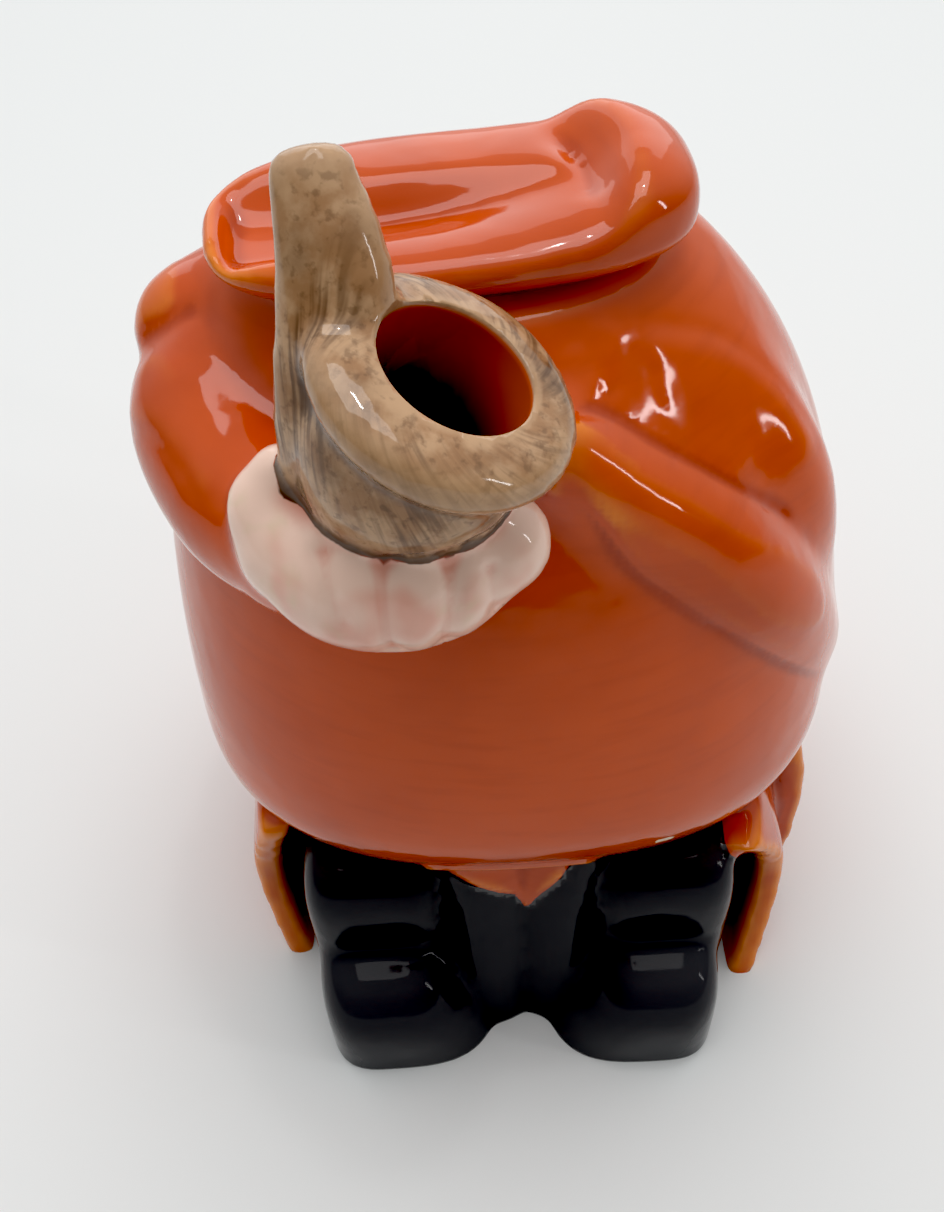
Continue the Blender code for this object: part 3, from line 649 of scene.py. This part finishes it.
def lid_hollow(cuts):
    """The space under the hat, as wide as the ring's bore, with a ceiling one wall under the top."""
    s = sizes()
    half_length = s.neck_half_length - s.flange_clearance - s.flange_wall
    half_depth = s.neck_half_depth - s.flange_clearance - s.flange_wall
    neck = at(*NECK_PLACE)
    spin = Matrix.Rotation(HAT_TURN, 3, "Z")

    def place(x, y, z):
        corner = max(abs(x), abs(y)) / (math.hypot(x, y) or 1.0)
        across = Vector((x * corner * half_length, y * corner * half_depth, 0.0))
        top = hat_top(across.x / s.hat_half_length, across.y / s.hat_half_depth) - s.hat_wall + s.seat_gap
        height = -2.0 * s.flange_height + (top + 2.0 * s.flange_height) * (z + 1.0) / 2.0
        return spin @ across + Vector((neck.x, neck.y, s.seat_height + height))

    return block(cuts, place)


def box(low, high):
    """An upright box between two corners."""
    shape = bmesh.new()
    bmesh.ops.create_cube(shape, size=1.0)
    bmesh.ops.scale(shape, vec=Vector(high) - Vector(low), verts=shape.verts)
    bmesh.ops.translate(shape, vec=(Vector(high) + Vector(low)) / 2, verts=shape.verts)
    return shape


def joined(shapes):
    """One bmesh that holds all the shapes."""
    whole = bmesh.new()
    for shape in shapes:
        mesh = bpy.data.meshes.new("form")
        shape.to_mesh(mesh)
        whole.from_mesh(mesh)
        bpy.data.meshes.remove(mesh)
    return whole


def as_object(name, shape):
    """An object in the scene that holds the bmesh."""
    mesh = bpy.data.meshes.new(name)
    shape.to_mesh(mesh)
    thing = bpy.data.objects.new(name, mesh)
    bpy.context.scene.collection.objects.link(thing)
    return thing


def with_modifiers_applied(thing):
    """The object's mesh with its modifiers applied, as a bmesh; the object goes."""
    bpy.context.view_layer.update()
    graph = bpy.context.evaluated_depsgraph_get()
    mesh = bpy.data.meshes.new_from_object(thing.evaluated_get(graph))
    shape = bmesh.new()
    shape.from_mesh(mesh)
    bpy.data.meshes.remove(mesh)
    bpy.data.objects.remove(thing)
    return shape


def skinned(shapes, grain, rounds):
    """One closed skin round overlapping shapes, its joints softened as slip and glaze soften them."""
    thing = as_object("skin", joined(shapes))
    remesh = thing.modifiers.new("Skin", "REMESH")
    remesh.mode = "VOXEL"
    remesh.voxel_size = grain
    shape = with_modifiers_applied(thing)
    smooth(shape, rounds)
    return shape


def smooth(shape, rounds, verts=None):
    """Draws each vertex halfway to the middle of its neighbours, in rounds."""
    for _ in range(rounds):
        bmesh.ops.smooth_vert(
            shape, verts=verts or shape.verts, factor=0.5, use_axis_x=True, use_axis_y=True, use_axis_z=True
        )


def cut(shape, tools):
    """The shape less each tool, as a bmesh."""
    thing = as_object("cut", shape)
    cutters = []
    for tool in tools:
        bmesh.ops.triangulate(tool, faces=tool.faces)
        bmesh.ops.recalc_face_normals(tool, faces=tool.faces)
        cutter = as_object("cutter", tool)
        modifier = thing.modifiers.new("Cut", "BOOLEAN")
        modifier.operation = "DIFFERENCE"
        modifier.solver = "MANIFOLD"
        modifier.object = cutter
        cutters.append(cutter)
    result = with_modifiers_applied(thing)
    for cutter in cutters:
        bpy.data.objects.remove(cutter)
    return result


def positions(shape):
    """The vertices' places as an array."""
    return np.array([vert.co for vert in shape.verts])


def distance_to(shapes, points):
    """Distance in millimetres from each point to the nearest of these shapes' surfaces."""
    tree = BVHTree.FromBMesh(joined(shapes))
    return np.array([tree.find_nearest(Vector(point))[3] for point in points]) * 1000.0


def offsets(tree, points, normals, places):
    """Signed distance in millimetres from a smooth curve laid on the skin, and how much of it counts.

    The distance is above 0 on the curve's left. What counts fades at the curve's ends and away from the skin.
    """
    spots = [curve_point(path(places), step / 48.0) for step in range(49)]
    spots = np.array([tree.find_nearest(spot)[0] for spot in spots])
    best = np.full(len(points), 1e9)
    left = np.zeros(len(points))
    over = np.zeros(len(points))
    share = np.zeros(len(points))
    for step, (start, end) in enumerate(zip(spots, spots[1:])):
        along = end - start
        part = np.clip((points - start) @ along / (along @ along), 0.0, 1.0)
        gap = points - start - part[:, None] * along
        far = (gap * gap).sum(1)
        nearer = far < best
        best = np.where(nearer, far, best)
        sideways = np.cross(normals, along / np.linalg.norm(along))
        left = np.where(nearer, (gap * sideways).sum(1), left)
        over = np.where(nearer, np.abs((gap * normals).sum(1)), over)
        share = np.where(nearer, (step + part) / 48.0, share)
    counts = ease(0.0, 0.15, share) * ease(0.0, 0.15, 1.0 - share) * (1.0 - ease(0.003, 0.007, over))
    return left * 1000.0, counts * (best < 0.02 ** 2)


def relief(shape):
    """How far the skin rises in millimetres at its folds."""
    shape.normal_update()
    points = positions(shape)
    normals = np.array([vert.normal for vert in shape.verts])
    tree = BVHTree.FromBMesh(shape)
    rise = np.zeros(len(points))
    for places, lip, width, groove, groove_width in FOLDS:
        gap, counts = offsets(tree, points, normals, places)
        step = ease(-LIP_RAMP, LIP_RAMP, gap) * np.exp(-np.maximum(gap, 0.0) / width)
        rise += counts * (lip * step - groove * np.exp(-((gap / (groove_width + GROOVE_SPARE)) ** 2)))
    return rise


def raise_skin(shape, rise):
    """Moves each vertex along its normal by rise in millimetres."""
    shape.normal_update()
    for vert, up in zip(shape.verts, rise):
        vert.co += vert.normal * float(up) / 1000.0


def hollows(shape):
    """How far each vertex lies below its surroundings in millimetres: creases are above 0, ridges below."""
    rested = shape.copy()
    smooth(rested, 10)
    shape.normal_update()
    sunk = [(soft.co - vert.co).dot(vert.normal) * 1000.0 for soft, vert in zip(rested.verts, shape.verts)]
    rested.free()
    return np.array(sunk)


def glazed_piece(name, shape, node_name, materials, fields):
    """Turns the bmesh into a shown piece that stands for a CAD node and carries its paint fields."""
    thing = as_object(name, shape)
    thing.data.shade_smooth()
    for material in materials:
        thing.data.materials.append(material)
    for field, values in fields.items():
        attribute = thing.data.attributes.new(field, "FLOAT", "POINT")
        attribute.data.foreach_set("value", np.asarray(values, np.float32))
    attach(thing, "root")
    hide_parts(node_name)
    return thing


def hem_height(points):
    """Height of the coat's hem over the trousers for each point, in metres."""
    s = sizes()
    places, heights = zip(*HEM)
    return np.interp(points[:, 0] / s.coat_half_width, places, heights) * s.seat_height


def body_fields(shape, coat, hand, pipe, legs):
    """The paint fields: each is above 0 inside its colour, in millimetres from the colour's edge."""
    s = sizes()
    points = positions(shape)
    gaps = {
        name: distance_to(forms, points)
        for name, forms in (("coat", coat), ("hand", hand), ("pipe", pipe), ("black", legs))
    }
    fields = {}
    for name in ("hand", "pipe", "black"):
        others = [gap for other, gap in gaps.items() if other != name]
        fields[name] = np.min(others, axis=0) - gaps[name]
    mouth, axis = pipe_axis()
    turn = axis.to_track_quat("Z", "X").to_matrix()
    local = (points - np.array(mouth)) @ np.array(turn)
    radius = np.hypot(local[:, 0], local[:, 1])
    # Each chip is a ball of bare clay
    chips = np.full(len(points), OUTSIDE)
    for place, size in CHIPS:
        gap = np.sqrt(((points - np.array(at(*place))) ** 2).sum(1)) * 1000.0
        chips = np.maximum(chips, size - gap)
    fields["black"] = np.minimum(fields["black"], (hem_height(points) - points[:, 2]) * 1000.0)
    return fields | {
        "bore": np.where(radius < s.mouth_radius * 1.01, -local[:, 2] * 1000.0 - BORE_EDGE, OUTSIDE),
        "turn": np.arctan2(local[:, 1], local[:, 0]) * s.rim_radius * 1000.0,
        "out": (radius - s.mouth_radius - local[:, 2]) * 1000.0,
        "rim": (1.12 * s.rim_radius - radius) * 1000.0,
        "chip": chips,
        "crease": hollows(shape),
    }


def build_body():
    """The hollow casting: its forms in one skin, its relief, its hollow and openings, and its paint."""
    s = sizes()
    seat = s.seat_height
    egg = coat_egg(160, 110, 0.0, seat)
    arms = sleeves(0.0, (56, 56))
    coat = [egg, skirt(0.0, -FLOOR_CUT, 160)] + arms + [handle()] + flaps(14)
    hand = [
        limb(path(HAND), radii(HAND_RADII), (48, 72), across=Vector((0, 0, 1))),
        limb(path(THUMB), radii(THUMB_RADII), (32, 32)),
    ]
    stem_radii = [share * s.stem_width for share in STEM_TAPER]
    flatness = s.stem_thickness / s.stem_width
    pipe = [
        turned(bowl_profile(), 128),
        limb(path(STEM), stem_radii, (48, 72), flatness=flatness, blunt=1.0),
    ]
    legs = [apron(0.0, 30)] + leg(-1, 0.0, 18) + leg(1, 0.0, 18)
    shape = skinned(coat + hand + pipe + legs, s.body_grain, 4)

    points = positions(shape)
    to_arms = distance_to(arms, points)
    to_rest = np.minimum(distance_to(hand + pipe, points), distance_to(legs, points))
    joint = np.abs(distance_to([egg], points) - to_arms) < JOINT_MATCH
    joint &= (to_arms < JOINT_REACH) & (to_rest > JOINT_CLEAR)
    smooth(shape, 24, [vert for vert, soft in zip(shape.verts, joint) if soft])
    points = positions(shape)
    rise = relief(shape)
    # The strip shows only over the trousers, in the middle of the front
    on_front = (np.abs(points[:, 0]) < 0.30 * s.coat_half_width) & (points[:, 1] < -0.80 * s.belly_depth)
    below_hem = (hem_height(points) - points[:, 2]) * 1000.0
    strip = STRIP_RISE * (1.0 - ease(-STRIP_EDGE, STRIP_EDGE, below_hem))
    rise += np.where(on_front & (points[:, 2] < 0.40 * seat), strip, 0.0)
    raise_skin(shape, rise)
    smooth(shape, 1)

    ledge = seat - s.neck_thickness
    inside = [coat_egg(64, 40, s.wall, ledge), skirt(s.wall, s.base_thickness, 48), apron(s.wall, 6)]
    inside += sleeves(s.wall, (20, 20)) + leg(-1, s.wall, 6) + leg(1, s.wall, 6)
    inside.append(limb(path(PASSAGE), [s.passage_radius] * 3, (24, 20)))
    cavity = skinned(inside, s.hollow_grain, 2)
    neck = at(*NECK_PLACE)
    span = 3.0 * s.coat_half_width
    tools = [
        cavity,
        turned(bore_profile(), 64),
        oval_prism(s.neck_half_length, s.neck_half_depth, ledge - s.wall, seat + s.wall, 96),
        box((-span, -span, -span), (span, span, 0.0)),
        box(
            (neck.x - 0.80 * s.coat_half_width, neck.y - 0.42 * s.belly_depth, seat),
            (neck.x + 0.80 * s.coat_half_width, s.back_depth, 2.0 * seat),
        ),
    ]
    shape = cut(shape, tools)
    fields = body_fields(shape, coat, hand, pipe, legs)
    shape.verts.index_update()
    # Faces well inside the black take the second glaze, clear of the ragged edge that both paint alike
    well_inside = np.minimum(fields["black"], -fields["chip"]) > BLACK_MARGIN
    for face in shape.faces:
        face.material_index = int(all(well_inside[vert.index] for vert in face.verts))
    # Clear glaze over underglaze looks wet and glassy. It is thin on the black, which mirrors less.
    glazes = (
        body_glaze("brushed underglaze under clear glaze", 0.5),
        body_glaze("black underglaze, thinly glazed", 0.1),
    )
    glazed_piece("glazed_body", shape, "teapot_body", glazes, fields)


def build_hat():
    """The loose lid: the hat with its locating ring and the hollow under it."""
    s = sizes()
    shape = skinned([hat(40)], s.hat_grain, 3)
    thing = as_object("hat", shape)
    half_length = s.neck_half_length - s.flange_clearance
    half_depth = s.neck_half_depth - s.flange_clearance
    foot = s.seat_height - s.flange_height
    ring = as_object("ring", oval_prism(half_length, half_depth, foot, s.seat_height + 0.3 * s.hat_rise, 96))
    union = thing.modifiers.new("Ring", "BOOLEAN")
    union.operation = "UNION"
    union.solver = "MANIFOLD"
    union.object = ring
    shape = with_modifiers_applied(thing)
    bpy.data.objects.remove(ring)
    shape = cut(shape, [lid_hollow(10)])
    glazed_piece("glazed_hat", shape, "lid", (hat_glaze(),), {"crease": hollows(shape)})


def add_node(tree, kind, inputs=None, out=0, **settings):
    """Adds a node with its settings, links each input that is given as a socket, and returns an output."""
    node = tree.nodes.new(kind)
    for name, value in settings.items():
        setattr(node, name, value)
    for key, value in (inputs or {}).items():
        if isinstance(value, bpy.types.NodeSocket):
            tree.links.new(value, node.inputs[key])
        else:
            node.inputs[key].default_value = value
    return node.outputs[out]


def painted(tree, under, over, value, low, high, most=1.0):
    """One colour laid over another: none of it where value is low, and the share most where it is high."""
    share = add_node(
        tree, "ShaderNodeMapRange", {"Value": value, "From Min": low, "From Max": high, "To Max": most},
        interpolation_type="SMOOTHSTEP",
    )
    return add_node(tree, "ShaderNodeMix", {0: share, 6: under, 7: over}, 2, data_type="RGBA")


def new_glaze(name, fields, patterns):
    """A new material, and by name its place on the piece, its paint fields and its noise patterns."""
    material = bpy.data.materials.new(name)
    material.use_nodes = True
    tree = material.node_tree
    place = add_node(tree, "ShaderNodeTexCoord", out="Object")
    look = {"place": place}
    for field in fields:
        look[field] = add_node(tree, "ShaderNodeAttribute", out="Fac", attribute_name=field)
    for pattern in patterns:
        size, detail = PATTERNS[pattern]
        inputs = {"Vector": place, "Scale": 1000.0 / size, "Detail": detail}
        look[pattern] = add_node(tree, "ShaderNodeTexNoise", inputs)
    return material, look


def orange_colour(tree, look):
    """Brushed orange underglaze: thick and dark in creases, thin and bright over edges."""
    c = colours()
    orange = painted(tree, c.coat, c.coat_deep, look["cloud"], 0.35, 0.72, 0.55)
    scale = [1000.0 / size for size in BRUSH_MARK]
    marks = add_node(tree, "ShaderNodeMapping", {"Vector": look["place"], "Scale": scale})
    marks = add_node(tree, "ShaderNodeTexNoise", {"Vector": marks, "Scale": 1.0, "Detail": 3.0})
    orange = painted(tree, orange, c.coat_deep, marks, 0.45, 0.75, 0.22)
    orange = painted(tree, orange, c.coat_deep, look["crease"], 0.03, 0.26)
    return painted(tree, orange, c.coat_thin, look["crease"], -0.10, -0.50, 0.85)


def clear_glaze(tree, look):
    """The clear glaze: slow waves as bump, a glassy IOR, and its roughness, which is returned."""
    shader = tree.nodes["Principled BSDF"]
    bump = add_node(tree, "ShaderNodeBump", {"Height": look["wave"], "Strength": 1.0, "Distance": GLAZE_WAVE})
    tree.links.new(bump, shader.inputs["Normal"])
    shader.inputs["IOR"].default_value = 1.5
    return add_node(
        tree, "ShaderNodeMapRange",
        {"Value": look["gloss"], "From Min": 0.3, "From Max": 0.8, "To Min": GLOSSY, "To Max": LESS_GLOSSY},
        interpolation_type="SMOOTHSTEP",
    )


def hand_colour(tree, look):
    """Pale underglaze with a pink wash, which gathers between the fingers."""
    c = colours()
    skin = painted(tree, c.skin, c.blush, look["wash"], 0.50, 0.70, 0.45)
    skin = painted(tree, skin, c.skin_shade, look["tint"], 0.55, 0.75, 0.5)
    return painted(tree, skin, c.blush, look["crease"], 0.0, 0.55, 0.6)


def pipe_colour(tree, look):
    """Tan underglaze with slanted dark strokes round the rim, stains, painted shade along its edge and deep
    in its rust brown bore.
    """
    c = colours()
    slant = add_node(tree, "ShaderNodeMath", {0: look["out"], 1: STROKE_SLANT}, operation="MULTIPLY")
    across = add_node(tree, "ShaderNodeMath", {0: look["turn"], 1: slant}, operation="SUBTRACT")
    across = add_node(tree, "ShaderNodeMath", {0: across, 1: STROKE_WIDTH}, operation="DIVIDE")
    along = add_node(tree, "ShaderNodeMath", {0: look["out"], 1: STROKE_LENGTH}, operation="DIVIDE")
    strokes = add_node(tree, "ShaderNodeCombineXYZ", {"X": across, "Y": along})
    strokes = add_node(tree, "ShaderNodeTexNoise", {"Vector": strokes, "Scale": 1.0, "Detail": 2.0})
    dark = 1.0
    for value, low, high, most in (
        (strokes, 0.40, 0.68, 1.0), (look["patch"], 0.42, 0.62, 0.8), (look["rim"], 0.0, 1.5, 1.0)
    ):
        share = add_node(
            tree, "ShaderNodeMapRange", {"Value": value, "From Min": low, "From Max": high, "To Max": most},
            interpolation_type="SMOOTHSTEP",
        )
        dark = add_node(tree, "ShaderNodeMath", {0: dark, 1: share}, operation="MULTIPLY")
    pipe = painted(tree, c.pipe, c.pipe_light, look["speckle"], 0.38, 0.62)
    pipe = add_node(tree, "ShaderNodeMix", {0: dark, 6: pipe, 7: c.pipe_dark}, 2, data_type="RGBA")
    # Painted shade: a dark, ragged band just inside the pipe's paint edge, where the bowl meets the hand and
    # the coat
    edge = add_node(
        tree, "ShaderNodeMath", {0: look["edge_shade_ragged"], 1: -4.0, 2: look["pipe"]}, operation="MULTIPLY_ADD"
    )
    # Painted shade: the bore goes from its rust brown to the dark colour further below the mouth
    bore = painted(tree, c.bore, c.bore_painted_shade, look["bore"], 3.0, 16.0)
    for paint, value, low, high, most in (
        (c.pipe_dark, look["stain"], 0.44, 0.74, 0.75),
        (c.pipe_dark, look["grit"], 0.52, 0.70, 0.45),
        (c.pipe_dark, look["crease"], 0.04, 0.30, 0.9),
        (c.pipe_dark, edge, 0.8, -1.6, 0.8),
        (c.pipe_light, look["crease"], -0.10, -0.45, 0.6),
        (bore, look["bore"], -0.2, 0.6, 1.0),
    ):
        pipe = painted(tree, pipe, paint, value, low, high, most)
    return pipe


def body_glaze(name, shine):
    """Slip-cast earthenware with brushed underglaze colours under a clear glaze: glassy, a little wavy."""
    c = colours()
    material, look = new_glaze(name, PAINT_FIELDS, PATTERNS)
    tree = material.node_tree
    shader = tree.nodes["Principled BSDF"]
    base = orange_colour(tree, look)
    ragged = add_node(tree, "ShaderNodeMath", {0: look["ragged"], 1: 0.5}, operation="SUBTRACT")
    for field, paint, ragged_by, soft in (
        ("black", c.shoes, 1.6, 0.12),
        ("hand", hand_colour(tree, look), 0.64, 0.12),
        ("pipe", pipe_colour(tree, look), 1.6, 0.25),
        ("chip", c.clay, 1.6, 0.10),
    ):
        edge = add_node(
            tree, "ShaderNodeMath", {0: ragged, 1: ragged_by, 2: look[field]}, operation="MULTIPLY_ADD"
        )
        base = painted(tree, base, paint, edge, -soft, soft)
    tree.links.new(base, shader.inputs["Base Color"])

    # The last edge is the chips', which are bare and rough
    bare = add_node(
        tree, "ShaderNodeMapRange",
        {"Value": edge, "From Min": -0.10, "From Max": 0.10, "To Max": CLAY_ROUGHNESS},
        interpolation_type="SMOOTHSTEP",
    )
    rough = add_node(tree, "ShaderNodeMath", {0: clear_glaze(tree, look), 1: bare}, operation="ADD")
    tree.links.new(rough, shader.inputs["Roughness"])
    shader.inputs["Specular IOR Level"].default_value = shine
    return material


def hat_glaze():
    """The same orange underglaze under clear glaze as the coat, on the loose hat."""
    material, look = new_glaze("orange underglaze under clear glaze", ("crease",), ("cloud", "gloss", "wave"))
    tree = material.node_tree
    shader = tree.nodes["Principled BSDF"]
    tree.links.new(orange_colour(tree, look), shader.inputs["Base Color"])
    tree.links.new(clear_glaze(tree, look), shader.inputs["Roughness"])
    return material


def add_light(name, place, aim, size, power):
    data = bpy.data.lights.new(name, "AREA")
    data.shape = "RECTANGLE"
    data.size, data.size_y = size
    data.energy = power
    lamp = bpy.data.objects.new(name, data)
    bpy.context.scene.collection.objects.link(lamp)
    lamp.location = place
    lamp.rotation_euler = (Vector(aim) - Vector(place)).to_track_quat("-Z", "Y").to_euler()
    return lamp


def build_stage():
    scene = bpy.context.scene
    shape = bmesh.new()
    bmesh.ops.create_grid(shape, x_segments=2, y_segments=2, size=3.0)
    floor = as_object("floor", shape)
    # Matt paper scatters light evenly, so the pot's shadow is soft and nothing mirrors in it
    paper = bpy.data.materials.new("matt studio paper")
    paper.use_nodes = True
    shader = paper.node_tree.nodes["Principled BSDF"]
    shader.inputs["Base Color"].default_value = colours().floor
    shader.inputs["Roughness"].default_value = 0.9
    floor.data.materials.append(paper)

    add_light("ceiling", (0.0, 0.10, 1.3), (0.0, 0.0, 0.05), (0.9, 0.7), 5.5)
    add_light("back wall", (0.0, 1.3, 0.75), (0.0, 0.0, 0.10), (1.8, 0.9), 4.0)
    add_light("ceiling lamp", (0.11, 0.08, 1.2), (0.0, 0.0, 0.15), (0.05, 0.05), 0.5)
    add_light("window", (1.05, -0.36, 0.52), (0.0, 0.0, 0.12), (0.05, 0.42), 0.9)

    world = bpy.data.worlds.new("pale room")
    world.use_nodes = True
    tree = world.node_tree
    way = add_node(tree, "ShaderNodeTexCoord", out="Generated")
    toward = {0: way, 1: (0.0, 0.60, 0.80)}
    away = add_node(tree, "ShaderNodeVectorMath", toward, "Value", operation="DOT_PRODUCT")
    dark = (0.14, 0.14, 0.14, 1.0)
    pale = (1.0, 1.02, 1.03, 1.0)
    sky = painted(tree, dark, pale, away, -0.15, 0.75)
    background = tree.nodes["Background"]
    tree.links.new(sky, background.inputs["Color"])
    background.inputs["Strength"].default_value = 0.85
    scene.world = world
    scene.view_settings.view_transform = "Standard"
    scene.view_settings.use_curve_mapping = True
    scene.view_settings.curve_mapping.black_level = (BLACK_LEVEL,) * 3

    lens = bpy.data.cameras.new("photo view")
    lens.sensor_fit = "VERTICAL"
    lens.sensor_height = 36.0
    lens.lens = 37.13
    camera = bpy.data.objects.new("photo view", lens)
    scene.collection.objects.link(camera)
    tip = Matrix.Rotation(math.radians(40.0), 4, "X")
    roll = Matrix.Rotation(math.radians(-3.5), 4, "Z")
    camera.matrix_world = Matrix.Translation((-0.008, -0.18512, 0.29562)) @ tip @ roll
    scene.camera = camera


class GlazedBody(bpy.types.Operator):
    """The hollow casting: coat, sleeves, hand, pipe, legs, flaps and handle"""

    bl_idname = "teapot.glazed_body"
    bl_label = "Glazed body"

    def execute(self, context):
        build_body()
        return {"FINISHED"}


class GlazedHat(bpy.types.Operator):
    """The loose lid in the shape of a hat"""

    bl_idname = "teapot.glazed_hat"
    bl_label = "Glazed hat"

    def execute(self, context):
        build_hat()
        return {"FINISHED"}


class Stage(bpy.types.Operator):
    """The floor, the soft lights and the camera at the photograph's viewpoint"""

    bl_idname = "teapot.stage"
    bl_label = "Stage"

    def execute(self, context):
        build_stage()
        return {"FINISHED"}


OPERATORS = (GlazedBody, GlazedHat, Stage)


class TeapotPanel(bpy.types.Panel):
    """Lists the teapot's pieces with their sizes and colours"""

    bl_idname = "VIEW3D_PT_teapot"
    bl_label = "Novelty teapot"
    bl_space_type = "VIEW_3D"
    bl_region_type = "UI"
    bl_category = "Teapot"

    def draw(self, context):
        for operator in OPERATORS:
            self.layout.operator(operator.bl_idname)
        for group in (context.scene.teapot_sizes, context.scene.teapot_colours):
            column = self.layout.column()
            for name in group.bl_rna.properties.keys():
                if name not in ("rna_type", "name"):
                    column.prop(group, name)


CLASSES = (TeapotSizes, TeapotColours, *OPERATORS, TeapotPanel)


def register():
    for cls in CLASSES:
        bpy.utils.register_class(cls)
    bpy.types.Scene.teapot_sizes = PointerProperty(type=TeapotSizes)
    bpy.types.Scene.teapot_colours = PointerProperty(type=TeapotColours)


def unregister():
    del bpy.types.Scene.teapot_colours
    del bpy.types.Scene.teapot_sizes
    for cls in reversed(CLASSES):
        bpy.utils.unregister_class(cls)


def main():
    register()
    bpy.ops.teapot.glazed_body()
    bpy.ops.teapot.glazed_hat()
    bpy.ops.teapot.stage()


if __name__ == "__main__":
    main()
